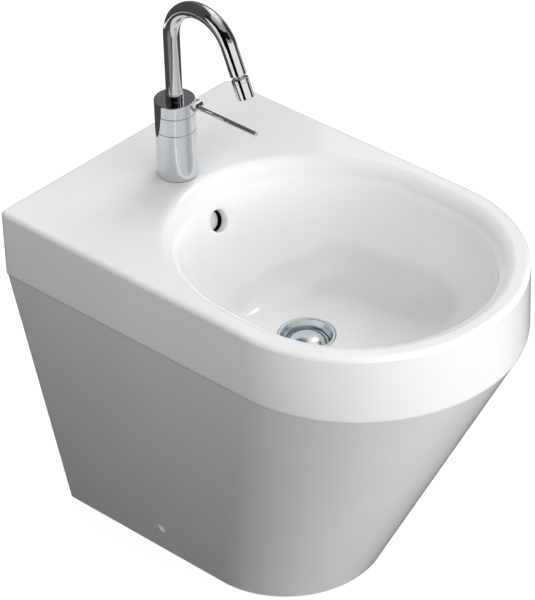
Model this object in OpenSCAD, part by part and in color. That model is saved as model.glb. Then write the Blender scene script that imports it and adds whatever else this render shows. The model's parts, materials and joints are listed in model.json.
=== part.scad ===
// Floor standing, back-to-wall bidet: a hollow glazed ceramic body, a side-lever mixer tap
// with a swivelling spout and a ball-jointed aerator, a push-to-close waste and hidden floor fixings.
// Millimetres. +Z is up, the front faces -Y, the back stands against a wall at +Y.
// The origin is on the floor under the middle of the body.

/* [Ceramic body] */
// Overall width
body_w = 360; // [340:1:380]
// Overall depth, from the wall to the front
body_d = 536; // [520:1:560]
// Height of the rim above the floor
rim_h = 428; // [410:1:450]
// Height of the upright band below the rim
band_h = 82; // [70:1:95]
// Length of the straight sides, from the wall to where the round front starts
side_len = 356; // [345:1:365]
// Width of the foot
foot_w = 220; // [205:1:235]
// Depth of the foot, from the wall to its front
foot_d = 353; // [340:1:370]
// Length of the foot's straight sides
foot_side_len = 243; // [235:1:250]
// How far the band stands out past the pedestal under it
band_step = 2; // [1:0.5:4]
// Fillet at the band's lower edge
band_edge_r = 5; // [3:0.5:7]
// Fillet at the rim's outer edge
rim_edge_r = 6; // [4:0.5:8]
// Radius of the two upright corners at the wall
corner_r = 8; // [7:0.5:12]
// Thickness of the ceramic wall
wall_t = 10; // [8:0.5:11]
// Thickness of the deck under the tap
deck_t = 13; // [11:0.5:15]
// Height of the service opening in the back
service_h = 290; // [260:5:310]
// Width of the service opening in the back
service_w = 150; // [130:5:160]
// Corner radius of the service opening
service_r = 30; // [20:1:40]

/* [Basin] */
// Distance from the outside of the rim to where the rim rolls into the basin
rim_flat = 14; // [12:0.5:18]
// Radius of the roll from the rim into the basin, at the sides and front
roll_r = 20; // [16:1:24]
// Radius of the roll from the deck into the basin, at the back
back_roll_r = 33; // [26:1:36]
// Distance from the wall to where the deck rolls into the basin
deck_len = 119; // [117:1:124]
// Distance from the wall to the middle of the basin's round back
back_round_from_wall = 310; // [300:1:320]
// Depth of the basin at the waste
basin_depth = 132; // [125:1:138]
// Fullness of the basin's section, where 2 is round and more is squarer
basin_fullness = 2.6; // [2.2:0.1:3]
// Diameter of the overflow hole
overflow_d = 24.5; // [20:0.5:26]
// Depth of the overflow hole's middle below the rim
overflow_drop = 39.5; // [37:0.5:42]
// Bore of the channel from the overflow to the waste
channel_d = 16; // [12:1:18]

/* [Waste] */
// Distance from the wall to the middle of the waste
drain_from_wall = 279; // [270:1:290]
// Diameter of the waste's flange
flange_d = 63; // [61:0.5:66]
// Depth of the dish in the flange
dish_depth = 10; // [8:0.5:11]
// Outside diameter of the threaded tail
tail_d = 41.9; // [40:0.1:43]
// Wall of the threaded tail
tail_wall = 3.2; // [2.5:0.1:4]
// Length of the waste from its flange to the end of its tail
waste_len = 92; // [86:1:110]
// Diameter of the waste hole in the ceramic
drain_hole_d = 46; // [45:0.5:48]
// Height of the ceramic collar round the waste hole
collar_h = 42; // [38:1:48]
// Diameter of the plug's dome
plug_d = 47.4; // [45:0.2:48]
// Rise of the plug's dome
plug_rise = 8; // [5:0.5:9]
// Travel of the plug, from closed to open
plug_lift = 9; // [7:0.5:10]

/* [Tap body] */
// Distance from the wall to the tap's axis
tap_from_wall = 95; // [92:1:97]
// Diameter of the tap body
tap_d = 45; // [43:0.5:47]
// Height of the tap's lower housing, with its gasket
housing_h = 58.2; // [56:0.2:64]
// Height of the turning control ring, with its seams
ring_h = 21; // [19:0.5:24]
// Height of the tap's top cap
cap_h = 14.8; // [14:0.2:18]
// Width of the seam above and below the control ring
seam = 0.4; // [0.3:0.1:0.6]
// Bore of the housing that holds the mixing cartridge
cartridge_bore = 37; // [36:0.5:38]
// Diameter of the tap hole in the ceramic
tap_hole_d = 35; // [33:0.5:36]
// Diameter of the threads for the two supply hoses, cut to the minor diameter
inlet_d = 9; // [8.6:0.1:9.4]
// Diameter of the stud that holds the tap down
stud_d = 8; // [6:0.5:8]

/* [Lever] */
// Diameter of the lever's hub
hub_d = 12; // [10:0.5:13]
// Distance from the tap's axis to the outer end of the hub
hub_reach = 38.5; // [37:0.5:42]
// Diameter of the lever rod
rod_d = 5.3; // [4:0.1:6]
// Length of the lever rod outside the hub
rod_len = 83; // [60:1:95]
// Distance from the tap's axis to the rod
rod_from_axis = 31.7; // [31:0.1:33]
// Diameter of the spindle on which the lever turns
spindle_d = 8; // [7:0.5:8.5]

/* [Spout] */
// Diameter of the spout tube
tube_d = 18; // [17:0.5:19]
// Wall of the spout tube
tube_wall = 1.5; // [1:0.1:1.8]
// Height above the deck at which the spout starts to bend
bend_start = 173; // [150:1:190]
// Radius of the spout's bend, at the middle of the tube
bend_r = 44; // [38:1:50]
// Angle through which the spout bends
bend_angle = 158; // [150:1:165]
// Length of the straight end after the bend
end_len = 32; // [28:1:36]
// Height of the collar at the spout's foot
foot_collar_h = 8.6; // [6:0.2:10]

/* [Aerator] */
// Diameter of the ball that the aerator turns on
ball_d = 15; // [14.4:0.1:15.2]
// Diameter of the aerator
aerator_d = 18.8; // [18.6:0.1:20]
// Length of the aerator
aerator_len = 23; // [21:0.5:26]
// Height of the socket ring at the top of the aerator, down to its seam
socket_ring_h = 4.2; // [4:0.1:4.6]

/* [Floor fixings] */
// Distance from the wall to the side screws
side_screw_from_wall = 156; // [145:1:170]
// Height of the side screws above the floor
side_screw_z = 35.5; // [32:0.5:40]
// Diameter of the side screws
side_screw_d = 6; // [5:0.5:6]
// Diameter of the caps over the side screws
screw_cap_d = 13; // [12.4:0.1:14]
// Width of the floor brackets along the pedestal
bracket_w = 38; // [32:1:44]
// Distance between the two floor screws
floor_screw_gap = 144; // [136:1:150]
// Diameter of the floor screw holes
floor_hole_d = 7; // [6:0.5:8]

/* [Fits] */
// Radial clearance between a shaft and the bore it turns in
running = 0.05; // [0.02:0.01:0.09]
// Gap between pieces that are fastened but don't touch all round
loose = 0.3; // [0.2:0.05:0.5]
// Gap between threads and other pieces that are screwed or pressed together
fast = 0.02; // [0.01:0.005:0.04]

/* [Hidden] */
$fn = 96;

// Small overlap that keeps a cut clear of the face it goes through
eps = 0.01;
// Steps round each corner, along each side and round the front of a level of the body
corner_n = 8;
side_n = 3;
front_n = 32;
// Length kept straight where a level of the basin would close to a full round
least_flat = 1.5;

// Places in the body's own frame
wall_y = body_d/2;
drain_y = wall_y - drain_from_wall;
tap_y = wall_y - tap_from_wall;
drain_z = rim_h - basin_depth;
overflow_z = rim_h - overflow_drop;
band_z = rim_h - band_h;
deck_under_z = rim_h - deck_t;
side_screw_y = wall_y - side_screw_from_wall;

// ---------------------------------------------------------------- levels of the body

function mix(a, b, t) = a + (b - a)*t;
function smooth(t) = t*t*(3 - 2*t);

// A level is [half width, front radius, y of the front's middle, y of the back,
//             corner radius in x, corner radius in y, z at the sides, z at the back]
function outline(l) = let(w = l[0], front = l[1], mid = l[2], back = l[3], rx = l[4], ry = l[5])
    concat(
        [[0, back]],
        [for (i = [0:corner_n]) let(a = 90 + 90*i/corner_n)
            [-(w - rx) + rx*cos(a), back - ry + ry*sin(a)]],
        [for (i = [1:side_n - 1]) [-w, mix(back - ry, mid, i/side_n)]],
        [for (i = [0:front_n]) let(a = 180 + 180*i/front_n) [w*cos(a), mid + front*sin(a)]],
        [for (i = [1:side_n - 1]) [w, mix(mid, back - ry, i/side_n)]],
        [for (i = [0:corner_n]) let(a = 90*i/corner_n)
            [(w - rx) + rx*cos(a), back - ry + ry*sin(a)]]
    );

// Share of the way from the sides, 0, to the middle of the back, 1
function backness(l, y) = smooth(max(0, min(1, (y - l[3] + l[5])/l[5])));
function level_points(l) = [for (p = outline(l)) [p[0], p[1], mix(l[6], l[7], backness(l, p[1]))]];

// The outside and the inside of the band and rim, drawn in by inset
function band_level(inset, z) = let(r = max(1, corner_r - inset))
    [body_w/2 - inset, body_d - side_len - inset, wall_y - side_len, wall_y - inset, r, r, z, z];

// The pedestal, from the foot at t = 0 to the underside of the band at t = 1
function pedestal_level(t, inset, z) = let(
        r = max(1, corner_r - inset),
        top = band_step + inset
    ) [
        mix(foot_w/2 - inset, body_w/2 - top, t),
        mix(foot_d - foot_side_len - inset, body_d - side_len - top, t),
        mix(wall_y - foot_side_len, wall_y - side_len, t),
        wall_y - inset, r, r, z, z
    ];

// The roll from the rim into the basin, as a turns from 0 to 90 degrees
function roll_level(a) = let(
        w = body_w/2 - rim_flat - roll_r*sin(a),
        back = wall_y - deck_len - back_roll_r*sin(a)
    ) [
        w, body_d - side_len - rim_flat - roll_r*sin(a), wall_y - side_len, back,
        w - least_flat, back - (wall_y - back_round_from_wall),
        rim_h - roll_r*(1 - cos(a)), rim_h - back_roll_r*(1 - cos(a))
    ];

// A bowl from its upright wall at a = 0 to its round hole at a = 90, grown outwards by grow
function bowl_level(a, grow, back_grow, top_side, top_back, low_z, hole_r) = let(
        u = 1 - pow(cos(a), 2/basin_fullness),
        v = pow(sin(a), 2/basin_fullness),
        w = mix(body_w/2 - rim_flat - roll_r + grow, hole_r, u),
        centre = mix(wall_y - back_round_from_wall, drain_y + least_flat, u),
        back_r = back_round_from_wall - deck_len - back_roll_r + back_grow,
        ry = mix(back_r, hole_r, u)
    ) [
        w, mix(body_d - side_len - rim_flat - roll_r + grow, hole_r, u),
        mix(wall_y - side_len, drain_y - least_flat, u), centre + ry,
        w - least_flat, ry, mix(top_side, low_z, v), mix(top_back, low_z, v)
    ];

// Angles at which a bowl has its levels, closest where it turns from the wall to the floor
bowl_angles = [12, 24, 35, 45, 54, 63, 72, 81, 89];
collar_r = drain_hole_d/2 + wall_t;
// Radius to which the bowl's floor stays flat round the flange
recess_r = flange_d/2 + 1.5;
// Radius of the hole in the levels, inside the true bore that is cut afterwards
pilot_r = drain_hole_d/2 - 3;
collar_z = drain_z - collar_h;
// Underside of the bowl's floor, a little thicker than the wall
under_bowl_z = drain_z - wall_t - 2;
// Extra thickness behind the basin's back, where the deck rolls into it
back_grow = wall_t + 12;
// Chamfer at the foot's edge, and how far the band's lower edge tucks in over the pedestal
foot_edge = 2;
band_tuck = band_step - 0.25;

body_levels = concat(
    [pedestal_level(0, foot_edge, 0), pedestal_level(0, 0, foot_edge)],
    [for (t = [0.33, 0.67, 1]) pedestal_level(t, 0, mix(foot_edge, band_z, t))],
    [for (a = [90, 60, 30, 0]) band_level(band_tuck*(1 - cos(a)), band_z + band_edge_r*(1 - sin(a)))],
    [for (a = [0:22.5:90]) band_level(rim_edge_r*(1 - cos(a)), rim_h - rim_edge_r*(1 - sin(a)))],
    [for (a = [0:15:90]) roll_level(a)],
    [for (a = bowl_angles) bowl_level(a, 0, 0, rim_h - roll_r, rim_h - back_roll_r, drain_z, recess_r)],
    [bowl_level(90, 0, 0, drain_z, drain_z, drain_z, pilot_r)],
    [bowl_level(90, 0, 0, collar_z, collar_z, collar_z, pilot_r)],
    [bowl_level(90, 0, 0, collar_z, collar_z, collar_z, collar_r)],
    [for (i = [len(bowl_angles) - 1:-1:0]) bowl_level(bowl_angles[i], wall_t, back_grow,
        deck_under_z, deck_under_z, under_bowl_z, collar_r)],
    [bowl_level(0, wall_t, back_grow, deck_under_z, deck_under_z, under_bowl_z, collar_r)],
    [band_level(wall_t, deck_under_z), pedestal_level(1, wall_t, band_z), pedestal_level(0, wall_t, 0)]
);

// A closed skin over levels that follow one another and meet again at the first
module skin(levels) {
    rows = [for (l = levels) level_points(l)];
    n = len(rows[0]);
    m = len(rows);
    points = [for (row = rows) for (p = row) p];
    faces = [for (i = [0:m - 1]) for (j = [0:n - 1]) let(
            a = i*n + j,
            b = i*n + (j + 1)%n,
            c = ((i + 1)%m)*n + (j + 1)%n,
            d = ((i + 1)%m)*n + j
        ) for (f = [[a, c, b], [a, d, c]]) f];
    polyhedron(points, faces, convexity = 12);
}

// ---------------------------------------------------------------- ceramic body

// Upright middle of the basin's back, and the overflow channel behind it
basin_back_y = wall_y - deck_len - back_roll_r;
channel_wall = 5;
channel_y = basin_back_y + wall_t + channel_d/2 + 3;
// Boss round the overflow hole ends this far past the channel's own wall
boss_end = 1.5;
// Fall of the channel on its way under the basin to the waste
channel_fall = 28;
channel_end = [0, drain_y + collar_r - channel_wall, collar_z + channel_d/2 + channel_wall + 1];
channel_bend = [0, channel_y, channel_end[2] + channel_fall];
channel_top = [0, channel_y, overflow_z];

// Seat of the waste in the ceramic, below the basin's floor
flange_t = 1.5;
flange_gap = 0.6;
dish_floor_t = 1.5;
seal_t = 2.5;
// Drop from the basin's floor to the plug's seat and to the underside of the dish
seat_drop = dish_depth + 2.5;
waste_under = seat_drop + dish_floor_t;
ledge_r = drain_hole_d/2 + 5;

// Pedestal's half width outside and inside at a height near the floor
function pedestal_x(z) = mix(foot_w/2, body_w/2 - band_step, (z - foot_edge)/(band_z - foot_edge));
function pedestal_inner_x(z) = mix(foot_w/2 - wall_t, body_w/2 - band_step - wall_t, z/band_z);
// Flat spot that is sunk into the leaning side for the screw cap
spot_d = screw_cap_d + 1;
spot_depth = 0.3;
spot_x = pedestal_x(side_screw_z - spot_d/2) - spot_depth;
sleeve_d = side_screw_d + 5;
sleeve_gap = 0.1;

// A round bar between two points in the plane x = 0
module bar(from, to, d) {
    step = to - from;
    translate(from)
        rotate([atan2(-step[1], step[2]), 0, 0])
            cylinder(d = d, h = norm(step));
}

// The overflow's channel: down behind the basin, round a bend and under it to the waste
module channel(d, past_end) {
    run = channel_end - channel_bend;
    bar(channel_top, channel_bend, d);
    translate(channel_bend) sphere(d = d);
    bar(channel_bend, channel_end + past_end*run/norm(run), d);
}

// Arched opening, rounded at its two upper corners
module arch(w, h, r) {
    translate([-w/2, -eps]) square([w, h - r + eps]);
    translate([-w/2 + r, 0]) square([w - 2*r, h]);
    for (side = [-1, 1])
        translate([side*(w/2 - r), h - r]) circle(r);
}

module ceramic_body() {
    color("white")
    difference() {
        union() {
            skin(body_levels);
            channel(channel_d + 2*channel_wall, 0);
            // Boss round the overflow hole
            translate([0, channel_y + channel_d/2 + channel_wall + boss_end, overflow_z])
                rotate([90, 0, 0])
                    cylinder(d = overflow_d + 2*channel_wall, h = wall_t + channel_d);
        }
        channel(channel_d, wall_t + 6);
        // Overflow hole, from the basin into the channel
        translate([0, channel_y, overflow_z])
            rotate([90, 0, 0])
                cylinder(d = overflow_d, h = wall_t + channel_d + back_roll_r);
        // Waste hole and the seat round it
        translate([0, drain_y, collar_z - 1]) cylinder(d = drain_hole_d, h = collar_h + 2);
        translate([0, drain_y, drain_z])
            rotate_extrude()
                polygon([
                    [0, 1], [flange_d/2 + flange_gap, 1],
                    [flange_d/2 + flange_gap, -flange_t - flange_gap],
                    [ledge_r, -waste_under], [ledge_r, -waste_under - seal_t],
                    [0, -waste_under - seal_t]
                ]);
        // Tap hole
        translate([0, tap_y, deck_under_z - 1]) cylinder(d = tap_hole_d, h = deck_t + 2);
        // Service opening in the back
        translate([0, wall_y + 1, 0])
            rotate([90, 0, 0])
                linear_extrude(wall_t + 3) arch(service_w, service_h, service_r);
        // Side holes and their sunk spots
        for (side = [-1, 1])
            translate([0, side_screw_y, side_screw_z])
                rotate([0, side*90, 0]) {
                    translate([0, 0, spot_x - 2*wall_t]) cylinder(d = sleeve_d + 2*sleeve_gap, h = 3*wall_t);
                    translate([0, 0, spot_x]) cylinder(d = spot_d, h = wall_t);
                }
    }
}

// ---------------------------------------------------------------- floor fixings

bracket_h = side_screw_z + 20;
bracket_plate_t = 8;
bracket_post_t = 14;
// Foot of the bracket reaches this far past the floor screw
bracket_toe = 13;
gusset_t = 5;
gusset_drop = 4;
head_d = side_screw_d + 3.3;
head_h = 3;
head_sink = 0.2;
socket_depth = 2.2;
// The side screw ends inside the bracket's post, whose hole is blind
screw_end = pedestal_inner_x(side_screw_z) - bracket_post_t + 3;

// Everything at the side screw is drawn on the right, with +Z of the piece pointing outwards
module at_side_screw(side) {
    translate([0, side_screw_y, side_screw_z]) rotate([0, side*90, 0]) children();
}

// Bracket that stands inside the pedestal: a post along the leaning wall and a foot on the floor
module bracket(side) {
    toe_x = floor_screw_gap/2 - bracket_toe;
    color("gainsboro")
    difference() {
        translate([0, side_screw_y + bracket_w/2, 0])
            mirror([side < 0 ? 1 : 0, 0, 0])
                rotate([90, 0, 0]) {
                    linear_extrude(bracket_w)
                        polygon([
                            [toe_x, 0], [pedestal_inner_x(0) - loose, 0],
                            [pedestal_inner_x(bracket_h) - loose, bracket_h],
                            [pedestal_inner_x(bracket_h) - bracket_post_t, bracket_h],
                            [pedestal_inner_x(0) - bracket_post_t, bracket_plate_t],
                            [toe_x, bracket_plate_t]
                        ]);
                    // Two gussets, one at each end
                    for (z = [0, bracket_w - gusset_t])
                        translate([0, 0, z])
                            linear_extrude(gusset_t)
                                polygon([
                                    [toe_x + 2, bracket_plate_t - 1],
                                    [pedestal_inner_x(0) - bracket_post_t + 1, bracket_plate_t - 1],
                                    [pedestal_inner_x(bracket_h) - bracket_post_t + 1, bracket_h - gusset_drop]
                                ]);
                }
        at_side_screw(side)
            translate([0, 0, screw_end - 0.5])
                cylinder(d = side_screw_d + 2*running, h = 2*bracket_post_t);
        translate([side*floor_screw_gap/2, side_screw_y, -1])
            cylinder(d = floor_hole_d, h = bracket_plate_t + 2);
    }
}
module bracket_left() { bracket(-1); }
module bracket_right() { bracket(1); }

// Screw with a round head sunk into the sleeve, into the bracket's post
module bracket_screw(side) {
    color("silver")
    at_side_screw(side)
        difference() {
            union() {
                translate([0, 0, screw_end]) cylinder(d = side_screw_d, h = spot_x - head_h - screw_end);
                translate([0, 0, spot_x - head_h - head_sink]) cylinder(d = head_d, h = head_h);
            }
            translate([0, 0, spot_x - socket_depth]) cylinder(d = side_screw_d/2, h = head_h);
        }
}
module bracket_screw_left() { bracket_screw(-1); }
module bracket_screw_right() { bracket_screw(1); }

// Plastic sleeve that centres the screw in the ceramic hole
module bracket_sleeve(side) {
    start = pedestal_inner_x(side_screw_z + sleeve_d/2);
    color("whitesmoke")
    at_side_screw(side)
        difference() {
            translate([0, 0, start]) cylinder(d = sleeve_d, h = spot_x - start);
            translate([0, 0, start - 1]) cylinder(d = side_screw_d + loose, h = wall_t + 4);
            translate([0, 0, spot_x - head_h - loose]) cylinder(d = head_d + loose, h = wall_t);
        }
}
module bracket_sleeve_left() { bracket_sleeve(-1); }
module bracket_sleeve_right() { bracket_sleeve(1); }

// Domed cap with a stub that plugs into the screw's socket
module screw_cap(side) {
    rise = 1.8;
    edge_h = 0.4;
    stub_r = side_screw_d/4 - running;
    stub_len = socket_depth - 0.4;
    color("white")
    at_side_screw(side)
        translate([0, 0, spot_x])
            rotate_extrude()
                polygon(concat(
                    [[0, -stub_len], [stub_r, -stub_len], [stub_r, 0], [screw_cap_d/2, 0]],
                    [for (a = [0:15:90]) [
                        screw_cap_d/2 - (rise - edge_h/2)*(1 - cos(a)),
                        edge_h + (rise - edge_h)*sin(a)
                    ]],
                    [[0, rise]]
                ));
}
module screw_cap_left() { screw_cap(-1); }
module screw_cap_right() { screw_cap(1); }

// ---------------------------------------------------------------- waste

tail_r = tail_d/2;
tail_bore_r = tail_r - tail_wall;
dish_r = plug_d/2 + 0.7;
plug_rim_drop = dish_depth - 0.5;
plug_seal_t = 2.4;
// Spider in the tail: four spokes and a hub that the click mechanism screws into
spider_z = -44;
spider_h = 6;
spoke_t = 4;
click_r = 6;
stem_d = 6;
stem_shoulder_r = 7.5;
stem_shoulder_t = 1.5;
// Hole in the plug's seal, wide enough for the step on the stem
seal_bore_r = 5.8;
// Windows in the tail that let the overflow water in
window_w = 13;
window_h = 13;
window_z = channel_end[2] - drain_z - window_h/2;
// Parts under the ceramic collar
lower_seal_t = 4;
washer_t = 1.5;
waste_nut_h = 8;
// Turned groove at the tail's end, below the nut
groove_z = -collar_h - lower_seal_t - washer_t - waste_nut_h - 3;
groove_w = 1.5;
groove_depth = 0.7;

module at_waste() {
    translate([0, drain_y, drain_z]) children();
}

// Chrome flange, dish and threaded tail in one casting, with a spider for the click mechanism
module waste_body() {
    color("silver")
    at_waste() difference() {
        union() {
            rotate_extrude()
                polygon(concat(
                    [[tail_bore_r, -seat_drop], [dish_r, -seat_drop], [dish_r, -dish_depth + 2]],
                    [for (a = [0:15:90]) [
                        dish_r + (flange_d/2 - 2.4 - dish_r)*(1 - cos(a)),
                        -dish_depth + 2 + (dish_depth - 2)*sin(a)
                    ]],
                    [for (a = [90:-30:0]) [flange_d/2 - 0.8 + 0.8*cos(a), -0.8 + 0.8*sin(a)]],
                    [
                        [flange_d/2, -flange_t], [flange_d/2 - 1, -flange_t - 0.4],
                        [ledge_r - 0.8, -waste_under], [tail_r, -waste_under],
                        [tail_r, groove_z], [tail_r - groove_depth, groove_z],
                        [tail_r - groove_depth, groove_z - groove_w], [tail_r, groove_z - groove_w],
                        [tail_r, -waste_len + 1], [tail_r - 1, -waste_len],
                        [tail_bore_r, -waste_len]
                    ]
                ));
            for (turn = [45, 135])
                rotate(turn)
                    translate([-tail_bore_r - 1, -spoke_t/2, spider_z])
                        cube([2*tail_bore_r + 2, spoke_t, spider_h]);
            translate([0, 0, spider_z]) cylinder(r = click_r + 2.5, h = spider_h);
        }
        translate([0, 0, spider_z - 1]) cylinder(r = click_r, h = spider_h + 2);
        for (turn = [0, 90])
            rotate(turn)
                translate([-window_w/2, -tail_r - 1, window_z]) cube([window_w, 2*tail_r + 2, window_h]);
    }
}

// Flat ring
module ring(outer_r, inner_r, h) {
    difference() {
        cylinder(r = outer_r, h = h);
        translate([0, 0, -1]) cylinder(r = inner_r, h = h + 2);
    }
}

module flange_seal() {
    color("dimgray")
    at_waste() translate([0, 0, -waste_under - seal_t]) ring(ledge_r - loose, tail_r + 0.1, seal_t);
}

// Rubber cone that seals the tail under the collar
module waste_lower_seal() {
    color("dimgray")
    at_waste() translate([0, 0, -collar_h])
        rotate_extrude()
            polygon([
                [tail_r + 0.1, -lower_seal_t], [collar_r - 1, -lower_seal_t], [collar_r - 1, 0],
                [drain_hole_d/2 - loose, 0], [tail_r + 0.1, 3]
            ]);
}

module waste_washer() {
    color("gainsboro")
    at_waste() translate([0, 0, -collar_h - lower_seal_t - washer_t])
        ring(collar_r - 2, tail_r + 0.15, washer_t);
}

module waste_nut() {
    color("goldenrod")
    at_waste() translate([0, 0, -collar_h - lower_seal_t - washer_t - waste_nut_h])
        difference() {
            cylinder(r = tail_r + 8, h = waste_nut_h, $fn = 6);
            translate([0, 0, -1]) cylinder(r = tail_r + 0.1, h = waste_nut_h + 2);
        }
}

// Housing of the push-to-close mechanism, screwed into the spider
module click_mechanism() {
    stem_bore = stem_d/2 + running;
    low = spider_z - 6;
    shoulder_z = spider_z + spider_h;
    shoulder_h = 4;
    top = -seat_drop - 6;
    floor_t = 2;
    color("whitesmoke")
    at_waste()
        rotate_extrude()
            polygon([
                [0, low], [click_r - fast, low], [click_r - fast, shoulder_z],
                [click_r + 2, shoulder_z], [click_r + 2, shoulder_z + shoulder_h],
                [click_r - 0.5, shoulder_z + shoulder_h + 1], [click_r - 0.5, top],
                [stem_bore, top], [stem_bore, low + floor_t], [0, low + floor_t]
            ]);
}

// Domed plug, hollow under its crown, with a boss for the stem
module plug_dome() {
    edge_h = 0.8;
    stem_top = plug_rise - 2.5;
    color("silver")
    at_waste() translate([0, 0, -plug_rim_drop])
        rotate_extrude()
            polygon(concat(
                [[stem_d/2, 0], [plug_d/2 - 0.5, 0]],
                [for (a = [0:7.5:90]) [
                    plug_d/2*pow(cos(a), 0.8), edge_h + (plug_rise - edge_h)*sin(a)
                ]],
                [[0, stem_top], [stem_d/2, stem_top]]
            ));
}

module plug_seal() {
    color("dimgray")
    at_waste() translate([0, 0, -plug_rim_drop - plug_seal_t])
        ring(plug_d/2 - 0.5, seal_bore_r, plug_seal_t);
}

// Stem with the shoulder that clamps the seal and the step that centres it
module plug_stem() {
    low = spider_z - 3;
    top = -plug_rim_drop + plug_rise - 3;
    shoulder_z = -plug_rim_drop - plug_seal_t - stem_shoulder_t;
    color("silver")
    at_waste() {
        translate([0, 0, low]) cylinder(d = stem_d, h = top - low);
        translate([0, 0, shoulder_z]) cylinder(r = stem_shoulder_r, h = stem_shoulder_t);
        translate([0, 0, shoulder_z]) cylinder(r = seal_bore_r - 0.1, h = -plug_rim_drop - shoulder_z);
    }
}

// ---------------------------------------------------------------- tap: fixed pieces

tap_r = tap_d/2;
gasket_t = 1;
gasket_bore_r = tap_hole_d/2 - 2.5;
cartridge_z = 22;
cartridge_r = cartridge_bore/2 - 0.2;
bearing_r = cartridge_bore/2 - running;
neck_r = cartridge_r - 3;
nut_low = 46;
nut_high = housing_h + 4.4;
nut_slot_w = 4;
nut_slot_depth = 1.5;
ring_low = housing_h + seam/2;
ring_high = housing_h + ring_h - seam/2;
cap_low = housing_h + ring_h + seam/2;
// Upper bearing of the control ring reaches down to this height
cap_bearing_low = ring_high - 3.8;
tap_h = housing_h + ring_h + cap_h;
spindle_z = housing_h + ring_h/2;
riser_d = 12;
riser_wall = 1.8;
port_d = inlet_d - 3;
inlet_x = 7.2;
inlet_y = 5;
inlet_depth = 14;
stud_y = -9.5;
// Length of the stud that is screwed into the housing
stud_grip = 14;
// Well round the riser in which the lever's crank pin moves
well_inner_r = 8;
well_outer_r = neck_r - 1;
well_low = housing_h - 4.2;
crank_x = 10.8;
crank_d = 3;
crank_len = spindle_z - well_low - 1;

module at_tap() {
    translate([0, tap_y, rim_h]) children();
}

module tap_gasket() {
    color("dimgray")
    at_tap() ring(tap_r - 1, gasket_bore_r, gasket_t);
}

// Lower housing: a cup for the cartridge over a base with two hose inlets and the stud's thread
module tap_housing() {
    color("silver")
    at_tap() difference() {
        rotate_extrude()
            polygon([
                [0, gasket_t], [tap_r - 0.5, gasket_t], [tap_r, gasket_t + 0.5],
                [tap_r, housing_h - seam/2 - 0.4], [tap_r - 0.4, housing_h - seam/2],
                [cartridge_bore/2, housing_h - seam/2], [cartridge_bore/2, cartridge_z], [0, cartridge_z]
            ]);
        for (side = [-1, 1])
            translate([side*inlet_x, inlet_y, 0]) {
                translate([0, 0, gasket_t - 1]) cylinder(d = inlet_d, h = inlet_depth + 1);
                translate([0, 0, gasket_t]) cylinder(d = port_d, h = cartridge_z);
            }
        translate([0, stud_y, gasket_t - 1]) cylinder(d = stud_d + 2*fast, h = stud_grip + 2);
    }
}

// Cartridge with two ports below, an outlet up its middle and the crank's well round that
module mixing_cartridge() {
    low = cartridge_z + 0.2;
    color("ivory")
    at_tap() difference() {
        rotate_extrude()
            polygon([
                [0, low], [cartridge_r, low], [cartridge_r, nut_low], [neck_r, nut_low],
                [neck_r, housing_h - 0.2], [well_outer_r, housing_h - 0.2], [well_outer_r, well_low],
                [well_inner_r, well_low], [well_inner_r, housing_h - 0.2],
                [riser_d/2 + fast, housing_h - 0.2], [riser_d/2 + fast, nut_low - 6], [0, nut_low - 6]
            ]);
        for (side = [-1, 1])
            translate([side*inlet_x, inlet_y, low - 1]) cylinder(d = port_d, h = 4);
    }
}

// Nut that holds the cartridge down; its upper end is the control ring's lower bearing
module cartridge_nut() {
    color("goldenrod")
    at_tap() difference() {
        translate([0, 0, nut_low + 0.1]) ring(bearing_r, neck_r + 0.2, nut_high - nut_low - 0.1);
        for (turn = [0, 90])
            rotate(turn + 45)
                translate([-tap_r, -nut_slot_w/2, nut_high - nut_slot_depth])
                    cube([2*tap_r, nut_slot_w, 2*nut_slot_depth]);
    }
}

// Brass tube that carries the mixed water and the top cap
module water_riser() {
    color("goldenrod")
    at_tap() translate([0, 0, nut_low - 5.8])
        ring(riser_d/2, riser_d/2 - riser_wall, cap_low - nut_low + 6.8);
}

spout_bore_r = 8 + running;
spout_bore_low = cap_low + 2.6;
grub_z = spout_bore_low + 6;
grub_d = 4;
// Grub screw: point, thread and hexagon socket
grub_point_start = 7.35;
grub_thread_start = 8.4;
grub_socket_r = 1.15;

// Top cap: upper bearing of the control ring below, bore for the spout above
module tap_top_cap() {
    color("silver")
    at_tap() difference() {
        rotate_extrude()
            polygon([
                [riser_d/2 + fast, cap_bearing_low], [bearing_r, cap_bearing_low], [bearing_r, cap_low],
                [tap_r - 0.4, cap_low], [tap_r, cap_low + 0.4], [tap_r, tap_h - 0.8], [tap_r - 0.8, tap_h],
                [spout_bore_r, tap_h], [spout_bore_r, spout_bore_low],
                [riser_d/2 - riser_wall, spout_bore_low], [riser_d/2 - riser_wall, cap_low + 1.1],
                [riser_d/2 + fast, cap_low + 1.1]
            ]);
        translate([0, 0, grub_z]) rotate([-90, 0, 0]) cylinder(d = grub_d + 2*fast, h = tap_r + 1);
    }
}

// Small screw at the back that keeps the spout in its bore and lets it turn
module spout_grub_screw() {
    color("dimgray")
    at_tap() translate([0, 0, grub_z])
        rotate([-90, 0, 0])
            difference() {
                union() {
                    translate([0, 0, grub_point_start]) cylinder(d = grub_d - 1.4, h = 2);
                    translate([0, 0, grub_thread_start]) cylinder(d = grub_d, h = tap_r - 10);
                }
                translate([0, 0, tap_r - 3.6]) cylinder(r = grub_socket_r, h = 3, $fn = 6);
            }
}

// ---------------------------------------------------------------- tap: control ring and lever

module at_spindle() {
    at_tap() translate([0, 0, spindle_z]) rotate([0, 90, 0]) children();
}
boss_r = 5.6;
boss_start = 13.6;
// The hub sits in a shallow seat in the ring
hub_seat = 0.9;
hub_start = tap_r - hub_seat;
// Retaining clip and its groove near the spindle's inner end
clip_start = 12.4;
clip_w = 0.9;
clip_t = 0.7;
clip_r = 5.4;
clip_depth = 0.8;
spindle_start = 8.9;
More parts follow.
